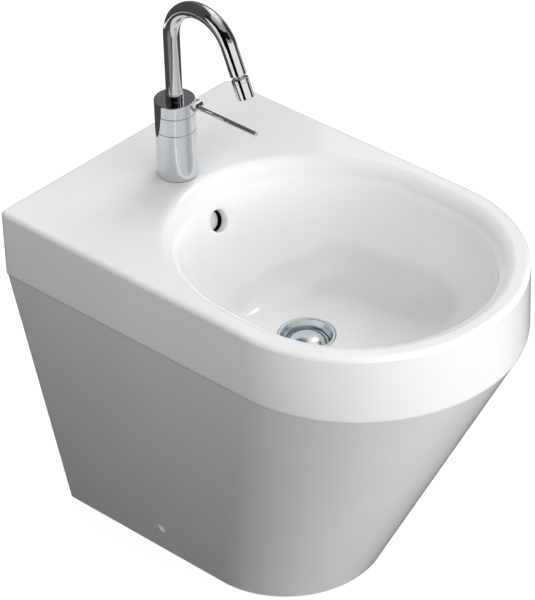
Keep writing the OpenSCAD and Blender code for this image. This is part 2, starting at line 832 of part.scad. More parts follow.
// Blind end of the rod's hole in the hub, past the spindle's axis
rod_hole_back = 2;
rod_edge = 0.3;

// Ring that turns for temperature and carries the lever's spindle
module control_ring() {
    color("silver")
    difference() {
        union() {
            at_tap()
                rotate_extrude()
                    polygon([
                        [cartridge_bore/2, ring_low], [tap_r - 0.4, ring_low], [tap_r, ring_low + 0.4],
                        [tap_r, ring_high - 0.4], [tap_r - 0.4, ring_high], [cartridge_bore/2, ring_high]
                    ]);
            at_spindle() translate([0, 0, boss_start]) cylinder(r = boss_r, h = 6);
        }
        at_spindle() cylinder(d = spindle_d + 2*running, h = tap_r + 1);
        at_spindle() translate([0, 0, hub_start - loose]) cylinder(d = hub_d + 0.8, h = 4);
    }
}

// Hub and spindle in one, with the crank pin that works the cartridge and the rod's hole
module lever_hub() {
    color("silver")
    difference() {
        union() {
            at_spindle()
                rotate_extrude()
                    polygon([
                        [0, spindle_start], [spindle_d/2, spindle_start],
                        [spindle_d/2, clip_start], [spindle_d/2 - clip_depth, clip_start],
                        [spindle_d/2 - clip_depth, clip_start + clip_w], [spindle_d/2, clip_start + clip_w],
                        [spindle_d/2, hub_start], [hub_d/2 - 0.3, hub_start],
                        [hub_d/2, hub_start + 0.3], [hub_d/2, hub_reach - 0.6],
                        [hub_d/2 - 0.6, hub_reach], [0, hub_reach]
                    ]);
            at_tap()
                translate([crank_x, 0, spindle_z - crank_len]) cylinder(d = crank_d, h = crank_len);
        }
        at_tap()
            translate([rod_from_axis, rod_hole_back, spindle_z])
                rotate([90, 0, 0]) cylinder(d = rod_d + 2*fast, h = hub_d);
    }
}

module lever_rod() {
    start = rod_hole_back - 0.2;
    whole = rod_len + hub_d/2 + start;
    color("silver")
    at_tap()
        translate([rod_from_axis, start, spindle_z])
            rotate([90, 0, 0])
                rotate_extrude()
                    polygon([
                        [0, 0], [rod_d/2, 0], [rod_d/2, whole - rod_edge],
                        [rod_d/2 - rod_edge, whole], [0, whole]
                    ]);
}

// Open clip in the spindle's groove
module spindle_clip() {
    color("dimgray")
    at_spindle() translate([0, 0, clip_start + 0.1])
        difference() {
            ring(clip_r, spindle_d/2 - clip_depth + 0.1, clip_t);
            translate([-1.8, 0, -1]) cube([3.6, 7, 3]);
        }
}

// ---------------------------------------------------------------- spout

tube_r = tube_d/2;
tube_bore_r = tube_r - tube_wall;
end_lap = 0.3;
end_step = 0.02;
foot_low = spout_bore_low + 0.4;
collar_top = tap_h + foot_collar_h;
foot_r = spout_bore_r - running;
groove_r = foot_r - 1.1;
foot_bore_r = 4.5;
// The collar clears the cap, and the plug above it reaches into the tube
foot_gap = 0.3;
foot_plug_h = 7;
o_ring_r = 0.56;
o_ring_heights = [foot_low + 2, tap_h - 2.2];

// Turned foot: sealed spigot in the cap's bore, collar over it and a plug in the tube
module spout_foot() {
    grub_gap = grub_d/2;
    color("silver")
    at_tap() difference() {
        rotate_extrude()
            polygon([
                [foot_bore_r, foot_low], [foot_r - 0.5, foot_low], [foot_r, foot_low + 0.5],
                [foot_r, grub_z - grub_gap], [foot_r - 1, grub_z - grub_gap],
                [foot_r - 1, grub_z + grub_gap], [foot_r, grub_z + grub_gap],
                [foot_r, tap_h + foot_gap], [tube_r + 0.8, tap_h + foot_gap],
                [tube_r + 0.8, collar_top - 1], [tube_r + 0.5, collar_top - 0.3], [tube_r, collar_top],
                [tube_bore_r - fast, collar_top], [tube_bore_r - fast, collar_top + foot_plug_h],
                [foot_bore_r, collar_top + foot_plug_h]
            ]);
        for (z = o_ring_heights)
            translate([0, 0, z - 0.75]) ring(foot_r + 1, groove_r, 1.5);
    }
}

module spout_o_rings() {
    color("dimgray")
    at_tap()
        for (z = o_ring_heights)
            translate([0, 0, z])
                rotate_extrude() translate([groove_r + o_ring_r + 0.01, 0]) circle(o_ring_r, $fn = 24);
}

// The tube's path: up, round the bend and straight down to the aerator.
// The straight end is a hair wider than the bend and closes over the last of it.
module tube_path(r, over) {
    translate([0, 0, collar_top - over]) cylinder(r = r, h = bend_start - collar_top + over);
    translate([0, -bend_r, bend_start])
        rotate([90, 0, 90])
            rotate_extrude(angle = bend_angle) translate([bend_r, 0]) circle(r);
    at_bend_end() translate([0, 0, -end_lap]) cylinder(r = r + end_step, h = end_len + end_lap + over);
}

// Frame at the end of the bend, with +Z along the water's way out
module at_bend_end() {
    translate([0, -bend_r*(1 - cos(bend_angle)), bend_start + bend_r*sin(bend_angle)])
        rotate([bend_angle, 0, 0]) children();
}

module spout_tube() {
    color("silver")
    at_tap() difference() {
        tube_path(tube_r, 0);
        tube_path(tube_bore_r, 1);
    }
}

// ---------------------------------------------------------------- aerator

ball_r = ball_d/2;
// Distance from the end of the spout to the ball's centre
ball_drop = 6.9;
ball_plug_h = 7;
ball_neck_r = 5.2;
ball_bore_r = 3.6;
socket_r = ball_r + 1;
// The seat holds the ball from this far behind its centre to this far ahead of it
seat_back = 1.8;
seat_front = 3.6;
// Height of the socket's lip behind the ball's centre
lip_h = 4;
insert_r = 7.7;
insert_t = 8;
// Jet holes: radius of each circle and the number of holes on it
jet_rings = [[0, 1], [2.6, 6], [5, 12]];
jet_d = 1.3;

// Frame at the ball's centre, with +Z along the water's way out
module at_ball() {
    at_tap() at_bend_end() translate([0, 0, end_len + ball_drop]) children();
}

// Hollow ball on a neck that plugs into the spout's end
module swivel_ball() {
    color("silver")
    at_ball() difference() {
        union() {
            sphere(r = ball_r);
            translate([0, 0, -ball_drop - ball_plug_h]) cylinder(r = tube_bore_r - fast, h = ball_plug_h);
            translate([0, 0, -ball_drop - 1]) cylinder(r = ball_neck_r, h = 3.5);
        }
        translate([0, 0, -ball_drop - ball_plug_h - 1]) cylinder(r = ball_bore_r, h = 2*ball_d);
    }
}

// Plastic seat between the ball and its socket
module ball_seat() {
    color("whitesmoke")
    at_ball() difference() {
        sphere(r = socket_r - running);
        sphere(r = ball_r + running);
        translate([0, 0, -seat_back - ball_d]) cylinder(r = ball_d, h = ball_d);
        translate([0, 0, seat_front]) cylinder(r = ball_d, h = ball_d);
    }
}

// Ring that screws down over the ball
module socket_ring() {
    color("silver")
    at_ball() difference() {
        rotate_extrude()
            polygon([
                [0, -lip_h], [aerator_d/2 - 0.5, -lip_h], [aerator_d/2, -lip_h + 0.5],
                [aerator_d/2, socket_ring_h - lip_h - 0.2], [0, socket_ring_h - lip_h - 0.2]
            ]);
        sphere(r = socket_r);
    }
}

module aerator_housing() {
    bottom = aerator_len - lip_h;
    color("silver")
    at_ball() difference() {
        rotate_extrude()
            polygon([
                [0, socket_ring_h - lip_h], [aerator_d/2, socket_ring_h - lip_h],
                [aerator_d/2, bottom - 0.6], [aerator_d/2 - 0.6, bottom], [0, bottom]
            ]);
        sphere(r = socket_r);
        translate([0, 0, seat_front]) cylinder(r = insert_r, h = aerator_len);
    }
}

// Insert with the jet holes
module aerator_insert() {
    face = aerator_len - lip_h - 1;
    color("gainsboro")
    at_ball() difference() {
        translate([0, 0, face - insert_t]) cylinder(r = insert_r - fast, h = insert_t);
        translate([0, 0, face - insert_t - 1]) cylinder(r = 6.4, h = insert_t - 1);
        for (circle = jet_rings)
            for (i = [0:circle[1] - 1])
                rotate(i*360/circle[1])
                    translate([circle[0], 0, face - 3]) cylinder(d = jet_d, h = 4, $fn = 16);
    }
}

// ---------------------------------------------------------------- tap: pieces under the deck

stud_washer_t = 3;
stud_plate_t = 2;
stud_nut_h = 16;
// Length of the stud below the deck
stud_drop = 50;

module tap_stud() {
    color("silver")
    at_tap() translate([0, stud_y, -deck_t - stud_drop])
        cylinder(d = stud_d, h = deck_t + stud_drop + gasket_t + stud_grip);
}

// Crescent that leaves the back of the tap hole free for the hoses
module crescent(r, h) {
    gap_w = 28;
    difference() {
        cylinder(r = r, h = h);
        translate([-gap_w/2, stud_y + 7, -1]) cube([gap_w, r + 10, h + 2]);
        translate([0, stud_y, -1]) cylinder(d = stud_d + 0.4, h = h + 2);
    }
}

module stud_rubber_washer() {
    color("dimgray")
    at_tap() translate([0, 0, -deck_t - stud_washer_t]) crescent(tap_hole_d/2 + 5.5, stud_washer_t);
}

module stud_metal_washer() {
    color("silver")
    at_tap() translate([0, 0, -deck_t - stud_washer_t - stud_plate_t])
        crescent(tap_hole_d/2 + 4.5, stud_plate_t);
}

module stud_nut() {
    color("goldenrod")
    at_tap() translate([0, stud_y, -deck_t - stud_washer_t - stud_plate_t - stud_nut_h])
        difference() {
            cylinder(r = stud_d*0.94, h = stud_nut_h, $fn = 6);
            translate([0, 0, -1]) cylinder(d = stud_d + 2*fast, h = stud_nut_h + 2);
        }
}

ceramic_body();
bracket_left();
bracket_right();
bracket_screw_left();
bracket_screw_right();
bracket_sleeve_left();
bracket_sleeve_right();
screw_cap_left();
screw_cap_right();
waste_body();
flange_seal();
waste_lower_seal();
waste_washer();
waste_nut();
click_mechanism();
plug_dome();
plug_seal();
plug_stem();
tap_gasket();
tap_housing();
mixing_cartridge();
cartridge_nut();
water_riser();
control_ring();
lever_hub();
lever_rod();
spindle_clip();
tap_top_cap();
spout_grub_screw();
spout_foot();
spout_o_rings();
spout_tube();
swivel_ball();
ball_seat();
socket_ring();
aerator_housing();
aerator_insert();
tap_stud();
stud_rubber_washer();
stud_metal_washer();
stud_nut();
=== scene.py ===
"""Looks of a back-to-wall bidet: glazed china body, side-lever mixer, push-to-close waste, floor fixings.

Pieces are modelled in millimetres in frames of their own and get their place, in metres, in their mesh.
"""

import json
import logging
import math
from dataclasses import dataclass, field
from enum import Enum
from typing import Sequence

import bmesh
import bpy
from mathutils import Matrix, Vector


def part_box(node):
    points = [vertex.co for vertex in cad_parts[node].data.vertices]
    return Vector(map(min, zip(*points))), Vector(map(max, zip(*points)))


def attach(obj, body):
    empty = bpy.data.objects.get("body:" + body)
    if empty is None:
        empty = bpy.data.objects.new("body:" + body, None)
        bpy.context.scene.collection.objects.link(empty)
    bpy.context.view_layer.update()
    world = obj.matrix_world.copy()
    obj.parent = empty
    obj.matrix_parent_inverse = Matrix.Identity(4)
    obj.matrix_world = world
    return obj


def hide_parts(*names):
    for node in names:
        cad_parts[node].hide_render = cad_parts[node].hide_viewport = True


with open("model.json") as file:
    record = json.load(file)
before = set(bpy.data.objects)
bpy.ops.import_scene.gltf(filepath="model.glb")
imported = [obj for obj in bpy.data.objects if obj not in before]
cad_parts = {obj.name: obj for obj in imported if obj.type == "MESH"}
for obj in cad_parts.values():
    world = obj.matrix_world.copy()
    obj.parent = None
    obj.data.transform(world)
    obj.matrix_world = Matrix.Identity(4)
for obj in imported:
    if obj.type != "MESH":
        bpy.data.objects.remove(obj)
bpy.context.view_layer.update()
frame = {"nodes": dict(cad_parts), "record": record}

LOG = logging.getLogger("bidet")
Point = tuple[float, float]
Point3 = tuple[float, float, float]
Mesh = bmesh.types.BMesh
Tree = bpy.types.NodeTree
Socket = bpy.types.NodeSocket

MM = 0.001
IDENTITY = Matrix.Identity(4)
ORIGIN = (0, 0, 0)
QUARTER = math.radians(90)
# Points nearer to each other than this, in millimetres, become one.
WELD = 1e-4
# Edges sharper than this stay sharp in the shading.
CREASE = math.radians(32)
# A rounding gets a point at least at every such turn.
ARC_STEP = math.radians(14)
# A rounding takes up at most this share of the edges that it joins.
ARC_REACH = 0.49
# Usual roundings of the small parts' edges, in millimetres, from the least to the most broken one.
FINE_EDGE, EDGE, SEEN_EDGE, SOFT_EDGE = 0.2, 0.3, 0.35, 0.5
# A cutter goes this far past the surface that it opens, in millimetres.
PAST = 1
# A pressed fit leaves this much between the two radii, in millimetres.
FIT = 0.02


# ---------------------------------------------------------------- finishes


def linear(code: str) -> tuple[float, float, float, float]:
    """Turns an sRGB hex colour into the linear values that shaders use.

    Args:
        code: Colour as "#rrggbb".

    Returns:
        Red, green, blue and an alpha of 1.
    """
    shares = [int(code[i:i + 2], 16) / 255 for i in (1, 3, 5)]
    curve = [s / 12.92 if s <= 0.04045 else ((s + 0.055) / 1.055) ** 2.4 for s in shares]
    return (*curve, 1.0)


def add_node(tree: Tree, kind: str, inputs: dict | None = None, **settings: object) -> bpy.types.Node:
    """Adds a shader node with its settings and its inputs.

    Args:
        tree: Node tree that gets the node.
        kind: Type of the node, such as "ShaderNodeMix".
        inputs: Input names or numbers, each with a value or with the socket that feeds it.
        **settings: Properties of the node.

    Returns:
        The new node.
    """
    node = tree.nodes.new(kind)
    for name, value in settings.items():
        setattr(node, name, value)
    for name, value in (inputs or {}).items():
        if isinstance(value, Socket):
            tree.links.new(value, node.inputs[name])
        else:
            node.inputs[name].default_value = value
    return node


def empty_tree(owner: bpy.types.Material | bpy.types.World) -> Tree:
    """Gives a material or a world an empty node tree.

    Args:
        owner: The material or the world.

    Returns:
        The tree.
    """
    owner.use_nodes = True
    owner.node_tree.nodes.clear()
    return owner.node_tree


def per_metre(size_mm: float) -> float:
    """Gives the noise scale whose blotches are about size_mm across, on coordinates in metres."""
    return 1000 / size_mm


@dataclass(frozen=True)
class Finish:
    """A surface finish whose colour, gloss and relief vary a little, as a real one's do.

    Two noises drive it: a broad one tints the colour, and a fine one is the relief and varies the gloss.
    """

    name: str
    colour: str
    tint: str
    roughness: float
    roughness_spread: float
    blotch_mm: float
    grain_mm: float
    relief_mm: float
    metallic: float = 0.0
    ior: float = 1.5
    stretch: Point3 = (1.0, 1.0, 1.0)
    # Most values of the two noises lie in these ranges, which are spread over the finish's whole range.
    broad_range: Point = (0.35, 0.65)
    fine_range: Point = (0.3, 0.7)
    broad_detail: float = 3.0
    fine_detail: float = 2.0

    def material(self) -> bpy.types.Material:
        """Makes the finish's material once and hands the same one out afterwards.

        Returns:
            The material.
        """
        made = bpy.data.materials.get(self.name)
        if made is None:
            made = bpy.data.materials.new(self.name)
            self.paint(empty_tree(made))
        return made

    def paint(self, tree: Tree) -> None:
        """Lays out the finish's nodes in an empty tree.

        Args:
            tree: The tree.
        """
        place = add_node(tree, "ShaderNodeTexCoord").outputs["Object"]
        place = add_node(tree, "ShaderNodeMapping", {"Vector": place, "Scale": self.stretch}).outputs[0]
        broad, fine = (
            add_node(tree, "ShaderNodeTexNoise",
                     {"Vector": place, "Scale": per_metre(size), "Detail": detail}).outputs[0]
            for size, detail in ((self.blotch_mm, self.broad_detail), (self.grain_mm, self.fine_detail)))
        low, high = self.broad_range
        share = add_node(tree, "ShaderNodeMapRange",
                         {"Value": broad, "From Min": low, "From Max": high}).outputs[0]
        colour = add_node(tree, "ShaderNodeMix",
                          {"Factor": share, 6: linear(self.colour), 7: linear(self.tint)},
                          data_type="RGBA").outputs[2]
        low, high = self.fine_range
        gloss = add_node(tree, "ShaderNodeMapRange",
                         {"Value": fine, "From Min": low, "From Max": high,
                          "To Min": max(0.0, self.roughness - self.roughness_spread),
                          "To Max": self.roughness + self.roughness_spread}).outputs[0]
        bump = add_node(tree, "ShaderNodeBump",
                        {"Height": fine, "Strength": 1.0, "Distance": self.relief_mm * MM}).outputs[0]
        surface = add_node(tree, "ShaderNodeBsdfPrincipled",
                           {"Base Color": colour, "Roughness": gloss, "Normal": bump,
                            "Metallic": self.metallic, "IOR": self.ior}).outputs[0]
        add_node(tree, "ShaderNodeOutputMaterial", {"Surface": surface})


# Vitreous china under a fired clear-white glaze: a hard, mirror-bright, slightly cool skin over white,
# with the faint orange peel of a glaze that has flowed.
GLAZE = Finish("glazed_vitreous_china", "#f1f1f2", "#edeeef", 0.07, 0.02, 90, 7, 0.003, ior=1.6)
# The same body where no glaze was sprayed, inside and under the foot: dry, chalky and a little warm.
BISQUE = Finish("unglazed_china", "#dcd9d2", "#cfccc4", 0.85, 0.05, 25, 0.9, 0.05)
# Bare china deep in the overflow's channel, painted dull and nearly black: painted shade that stands in for
# the darkness deep inside the channel.
PAINTED_SHADE_CHINA = Finish("painted_shade_channel_china", "#2b2927", "#1f1d1c", 0.9, 0.05, 12, 0.9, 0.03)
# Nickel and chromium plated on polished brass: nearly a mirror, with a trace of buffing haze.
CHROME = Finish("chromium_plate", "#dfe1e3", "#d7dadd", 0.045, 0.015, 30, 4, 0.0006, metallic=1.0)
# The same plating on the waste, over a blasted and brushed casting: its images are blurred to soft shades.
SATIN_CHROME = Finish("satin_chromium_plate", "#dde4e8", "#d4dce1", 0.2, 0.03, 30, 4, 0.0006, metallic=1.0)
# Turned brass, left bare under the deck: yellow, with fine tool rings that soften its shine.
BRASS = Finish("turned_brass", "#c09a55", "#a98543", 0.28, 0.08, 14, 0.8, 0.01, metallic=1.0,
               stretch=(0.4, 0.4, 4.0))
# Zinc plated steel of screws and clips: blue-grey and satin, mottled by its passivation.
ZINC = Finish("zinc_plated_steel", "#b9bec2", "#a5abb0", 0.34, 0.07, 6, 0.7, 0.008, metallic=1.0)
# EPDM rubber of seals and gaskets: near black and dull, with the mould's fine texture.
RUBBER = Finish("moulded_rubber", "#1d1d1e", "#262627", 0.72, 0.06, 12, 0.6, 0.02)
# Polypropylene caps, moulded in a polished tool: clean gloss white.
WHITE_CAP = Finish("gloss_moulded_plastic", "#eff0ef", "#e9eae9", 0.36, 0.04, 18, 1.5, 0.004, ior=1.49)
# Glass-filled nylon of hidden fittings: pale grey and satin, faintly streaked where the melt flowed.
NYLON = Finish("moulded_nylon", "#c6c8c9", "#b7babb", 0.48, 0.06, 16, 0.8, 0.012, ior=1.53)


class Slot(Enum):
    """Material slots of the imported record, each with the finish that this scene gives it."""

    glazed_ceramic = GLAZE
    chrome = CHROME
    brass = BRASS
    rubber = RUBBER
    steel = ZINC
    white_plastic = WHITE_CAP
    grey_plastic = NYLON


RECORD = frame["record"]
SLOT_OF_NODE = {row["node"]: row["material_slot"] for row in RECORD["subparts"]}
BODY_OF_NODE = {node: body for body, nodes in RECORD["behaviour"]["bodies"].items() for node in nodes}


# ---------------------------------------------------------------- modelling


@dataclass
class Outline:
    """A section in the half plane of a lathe, r outwards and z up, given by its corners."""

    corners: list[Point3] = field(default_factory=list)

    def to(self, r: float, z: float, round_mm: float = 0.0) -> "Outline":
        """Adds a corner at (r, z), rounded by round_mm, and returns the outline."""
        self.corners.append((r, z, round_mm))
        return self

    def arc(self, r: float, z: float, radius: float, start: float, end: float, steps: int) -> "Outline":
        """Adds points along an arc.

        Args:
            r: Distance of the arc's centre from the axis.
            z: Height of the arc's centre.
            radius: Radius of the arc.
            start: Angle of the first point in degrees, from the +r direction.
            end: Angle of the last point in degrees.
            steps: Number of stretches along the arc.

        Returns:
            The outline.
        """
        for i in range(steps + 1):
            turn = math.radians(start + (end - start) * i / steps)
            self.to(r + radius * math.cos(turn), z + radius * math.sin(turn))
        return self

    def dome(self, radius: float, low: float, high: float, power: float, steps: int) -> "Outline":
        """Adds the points of a dome, from its edge at height low to its middle at height high.

        Args:
            radius: Radius of the dome's edge.
            low: Height of its edge.
            high: Height of its middle.
            power: 2 for a parabola, and more for a flatter crown.
            steps: Number of stretches.

        Returns:
            The outline.
        """
        for i in range(steps + 1):
            out = 1 - i / steps
            self.to(radius * out, low + (high - low) * (1 - out ** power))
        return self

    def trace(self, closed: bool) -> list[Point]:
        """Lists the section's points, with each rounded corner as an arc.

        Args:
            closed: Whether the last corner joins the first.

        Returns:
            The points in order.
        """
        points: list[Point] = []
        count = len(self.corners)
        for i, (r, z, round_mm) in enumerate(self.corners):
            if not round_mm or not (closed or 0 < i < count - 1):
                points.append((r, z))
                continue
            here = Vector((r, z))
            back = Vector(self.corners[i - 1][:2]) - here
            ahead = Vector(self.corners[(i + 1) % count][:2]) - here
            half = back.angle(ahead) / 2
            reach = min(round_mm / math.tan(half), ARC_REACH * back.length, ARC_REACH * ahead.length)
            centre = here + (back.normalized() + ahead.normalized()).normalized() * (reach / math.cos(half))
            start = here + back.normalized() * reach - centre
            end = here + ahead.normalized() * reach - centre
            turn = math.atan2(start.x * end.y - start.y * end.x, start.dot(end))
            steps = max(2, math.ceil(abs(turn) / ARC_STEP))
            for k in range(steps + 1):
                spot = centre + Matrix.Rotation(turn * k / steps, 2) @ start
                points.append((spot.x, spot.y))
        return points


def wire(mesh: Mesh, spots: Sequence[Point3 | Vector], closed: bool) -> tuple[list, list]:
    """Lays a row of points into a mesh and joins them by edges.

    Args:
        mesh: The mesh.
        spots: Where the points lie.
        closed: Whether the last point is joined to the first.

    Returns:
        The points and the edges.
    """
    verts = [mesh.verts.new(spot) for spot in spots]
    ahead = verts[1:] + verts[:1] if closed else verts[1:]
    return verts, [mesh.edges.new(pair) for pair in zip(verts, ahead)]


def sweep(mesh: Mesh, parts: list, angle: float, steps: int, rise: float = 0.0, weld: bool = False) -> None:
    """Sweeps points and edges about the Z axis.

    Args:
        mesh: The mesh that they are in.
        parts: The points and edges.
        angle: Whole turn, in radians.
        steps: Number of facets along it.
        rise: Rise at each step.
        weld: Whether the sweep closes on its start.
    """
    bmesh.ops.spin(mesh, geom=parts, cent=ORIGIN, axis=(0, 0, 1), dvec=(0, 0, rise), angle=angle,
                   steps=steps, use_merge=weld, use_duplicate=False)


def lathe(outline: Outline, closed: bool = False, steps: int = 96) -> Mesh:
    """Turns a section a full turn about the Z axis.

    Args:
        outline: The section.
        closed: Whether the section is a closed loop, as a ring's is.
        steps: Number of facets in the turn.

    Returns:
        The turned mesh, in millimetres.
    """
    mesh = bmesh.new()
    corners, edges = wire(mesh, [(r, 0, z) for r, z in outline.trace(closed)], closed)
    sweep(mesh, corners + edges, 2 * math.pi, steps, weld=True)
    bmesh.ops.remove_doubles(mesh, verts=mesh.verts, dist=WELD)
    bmesh.ops.recalc_face_normals(mesh, faces=mesh.faces)
    return mesh


def thread(root_r: float, crest_r: float, low: float, high: float, pitch: float, steps: int) -> Mesh:
    """Winds a ridge of trapezoid section round the Z axis, rooted a little inside root_r.

    Args:
        root_r: Radius at the thread's root.
        crest_r: Radius at its crest.
        low: Height of the first turn's middle.
        high: Height of the last turn's middle.
        pitch: Rise in one turn.
        steps: Number of facets in a turn.

    Returns:
        The closed ridge, in millimetres.
    """
    bite, foot, crest = 0.2, 0.42 * pitch, 0.06 * pitch
    section = [(root_r - bite, -foot), (crest_r, -crest), (crest_r, crest), (root_r - bite, foot)]
    mesh = bmesh.new()
    corners, edges = wire(mesh, [(r, 0, low + z) for r, z in section], True)
    turns = (high - low) / pitch
    count = round(steps * turns)
    sweep(mesh, corners + edges, 2 * math.pi * turns, count, rise=(high - low) / count)
    bmesh.ops.holes_fill(mesh, edges=mesh.edges, sides=4)
    bmesh.ops.recalc_face_normals(mesh, faces=mesh.faces)
    return mesh


def rod(radius: float, low: float, high: float, round_mm: float = 0.0, steps: int = 64) -> Mesh:
    """Turns a plain or round-edged cylinder from height low to height high."""
    outline = Outline().to(0, low).to(radius, low, round_mm).to(radius, high, round_mm).to(0, high)
    return lathe(outline, steps=steps)


def block(x: float, y: float, z: float, round_mm: float) -> Mesh:
    """Makes a block about the origin.

    Args:
        x: Width.
        y: Depth.
        z: Height.
        round_mm: Rounding of its edges.

    Returns:
        The closed mesh, in millimetres.
    """
    mesh = bmesh.new()
    bmesh.ops.create_cube(mesh, size=1, matrix=Matrix.Diagonal((x, y, z, 1)))
    bmesh.ops.bevel(mesh, geom=mesh.edges, offset=round_mm, affect="EDGES", segments=3, profile=0.5,
                    material=-1)
    return mesh


def loft(rings: Sequence[Sequence[Vector]], closed: bool = False) -> Mesh:
    """Skins a row of closed rings with as many points each.

    Args:
        rings: The rings in order.
        closed: Whether the last ring joins the first. If not, both ends get a face.

    Returns:
        The closed mesh.
    """
    mesh = bmesh.new()
    verts, edges = wire(mesh, rings[0], True)
    first = list(edges)
    for ring in rings[1:]:
        grown = bmesh.ops.extrude_edge_only(mesh, edges=edges)["geom"]
        fresh = {g for g in grown if isinstance(g, bmesh.types.BMVert)}
        verts = [next(e.other_vert(v) for e in v.link_edges if e.other_vert(v) in fresh) for v in verts]
        edges = [mesh.edges.get(pair) for pair in zip(verts, verts[1:] + verts[:1])]
        for vert, spot in zip(verts, ring):
            vert.co = spot
    if closed:
        bmesh.ops.bridge_loops(mesh, edges=first + edges)
    else:
        bmesh.ops.holes_fill(mesh, edges=mesh.edges, sides=0)
    bmesh.ops.recalc_face_normals(mesh, faces=mesh.faces)
    return mesh


def at(x: float, y: float, z: float) -> Matrix:
    """Gives a move by (x, y, z)."""
    return Matrix.Translation((x, y, z))


def turned(degrees: float, axis: str) -> Matrix:
    """Gives a turn about one of the axes."""
    return Matrix.Rotation(math.radians(degrees), 4, axis)


def as_object(mesh: Mesh, name: str) -> bpy.types.Object:
    """Puts a mesh into the scene as an object at the origin.

    Args:
        mesh: The mesh, which is freed.
        name: Name of the object and of its mesh.

    Returns:
        The object.
    """
    data = bpy.data.meshes.new(name)
    mesh.to_mesh(data)
    mesh.free()
    made = bpy.data.objects.new(name, data)
    bpy.context.scene.collection.objects.link(made)
    return made


def placed(mesh: Mesh, name: str, place: Matrix, index: int = 0) -> bpy.types.Object:
    """Makes an object of a mesh in millimetres, with its place, in metres, in its vertices.

    Args:
        mesh: The mesh, which is freed.
        name: Name of the object.
        place: Where the mesh's frame lies, in millimetres.
        index: Material index of faces that have none yet.

    Returns:
        The object, at the origin.
    """
    bmesh.ops.transform(mesh, matrix=Matrix.Scale(MM, 4) @ place, verts=mesh.verts)
    for face in mesh.faces:
        face.smooth = True
        face.material_index = face.material_index or index
    return as_object(mesh, name)


class Carve(Enum):
    """What a tool does to the piece it meets."""

    CUT = "DIFFERENCE"
    ADD = "UNION"


@dataclass
class Tool:
    """A closed mesh, in millimetres, that is cut from a piece or added to it.

    Both are cut into triangles first: a bent four-sided face makes the exact solver leave gaps.
    """

    mesh: Mesh
    place: Matrix = field(default_factory=lambda: IDENTITY.copy())
    work: Carve = Carve.CUT
    index: int = 0

    def use_on(self, piece: bpy.types.Object) -> None:
        """Works the piece's mesh and takes the tool away again.

        Args:
            piece: The piece, whose mesh is replaced.
        """
        body = placed(self.mesh, "tool", self.place, self.index)
        for material in piece.data.materials:
            body.data.materials.append(material)
        for one in (body, piece):
            one.modifiers.new("triangles", "TRIANGULATE")
        step = piece.modifiers.new("work", "BOOLEAN")
        step.object = body
        step.operation = self.work.value
        step.solver = "EXACT"
        result = bpy.data.meshes.new_from_object(piece.evaluated_get(bpy.context.evaluated_depsgraph_get()))
        piece.modifiers.clear()
        old, piece.data = piece.data, result
        result.name = piece.name
        bpy.data.meshes.remove(old)
        bpy.data.objects.remove(body)


class Assembly:
    """Pieces that belong together, each standing for a CAD node and riding on its body."""

    def build(self) -> None:
        """Makes every piece."""
        raise NotImplementedError

    def put(self, node: str, mesh: Mesh, place: Matrix, tools: Sequence[Tool] = (),
            finishes: Sequence[Finish] = ()) -> bpy.types.Object:
        """Makes a piece of a mesh, finishes it and puts it in the place of a CAD node.

        Args:
            node: Name of the CAD node that the piece stands for.
            mesh: The piece's mesh, in millimetres.
            place: Where the mesh's frame lies.
            tools: Meshes that are cut from it or added to it, in order.
            finishes: Its finishes, if it has others than its slot's.

        Returns:
            The piece.
        """
        slot = SLOT_OF_NODE[node]
        piece = placed(mesh, "looks_" + node, place)
        for finish in finishes or [Slot[slot].value]:
            piece.data.materials.append(finish.material())
        for tool in tools:
            tool.use_on(piece)
        piece.data.set_sharp_from_angle(angle=CREASE)
        even = piece.modifiers.new("even_shading", "WEIGHTED_NORMAL")
        even.keep_sharp = True
        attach(piece, BODY_OF_NODE[node])
        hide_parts(node)
        LOG.info("%s: %d faces on %s", piece.name, len(piece.data.polygons), BODY_OF_NODE[node])
        return piece


def blend_of(a: float, b: float, share: float) -> float:
    """Gives the value share of the way from a to b."""
    return a + (b - a) * share


def arc_steps(first: float, last: float, count: int) -> list[float]:
    """Lists count + 1 angles from first to last, in radians, given in degrees."""
    return [math.radians(blend_of(first, last, i / count)) for i in range(count + 1)]


def quarter(first: float, last: float, count: int) -> list[Point]:
    """Lists 1 - cosine and 1 - sine at count + 1 angles from first to last, given in degrees."""
    return [(1 - math.cos(a), 1 - math.sin(a)) for a in arc_steps(first, last, count)]


# ---------------------------------------------------------------- china body


@dataclass(frozen=True)
class Level:
    """One closed line round the body: straight sides, a round front and a back with round corners.

    Its height runs from side_z along the sides and front to back_z in the middle of the back.
    """

    half_width: float
    front: float
    middle: float
    back: float
    corner_x: float
    corner_y: float
    side_z: float
    back_z: float

    @classmethod
    def circle(cls, radius: float, y: float, z: float) -> "Level":
        """Gives a round level about (0, y)."""
        return cls(radius, radius, y, y + radius, radius, radius, z, z)

    def raised(self, x: float, y: float) -> Vector:
        """Puts a point of the line at its height."""
        share = max(0.0, min(1.0, (y - self.back + self.corner_y) / self.corner_y))
        return Vector((x, y, blend_of(self.side_z, self.back_z, share * share * (3 - 2 * share))))

    def points(self, corner_steps: int, side_steps: int, front_steps: int) -> list[Vector]:
        """Lists the line's points, from the middle of the back round by the left side.

        Args:
            corner_steps: Stretches round each back corner.
            side_steps: Stretches along each side.
            front_steps: Stretches round the front.

        Returns:
            The points. The last one isn't the first again.
        """
        top = self.back - self.corner_y
        inner = self.half_width - self.corner_x
        left = [(-inner - self.corner_x * math.sin(a), top + self.corner_y * math.cos(a))
                for a in arc_steps(0, 90, corner_steps)]
        side = [(-self.half_width, blend_of(top, self.middle, i / side_steps)) for i in range(1, side_steps)]
        front = [(-self.half_width * math.cos(a), self.middle - self.front * math.sin(a))
                 for a in arc_steps(0, 180, front_steps)]
        mirrored = [(-x, y) for x, y in reversed(left + side)]
        return [self.raised(x, y) for x, y in [(0, self.back), *left, *side, *front, *mirrored]]


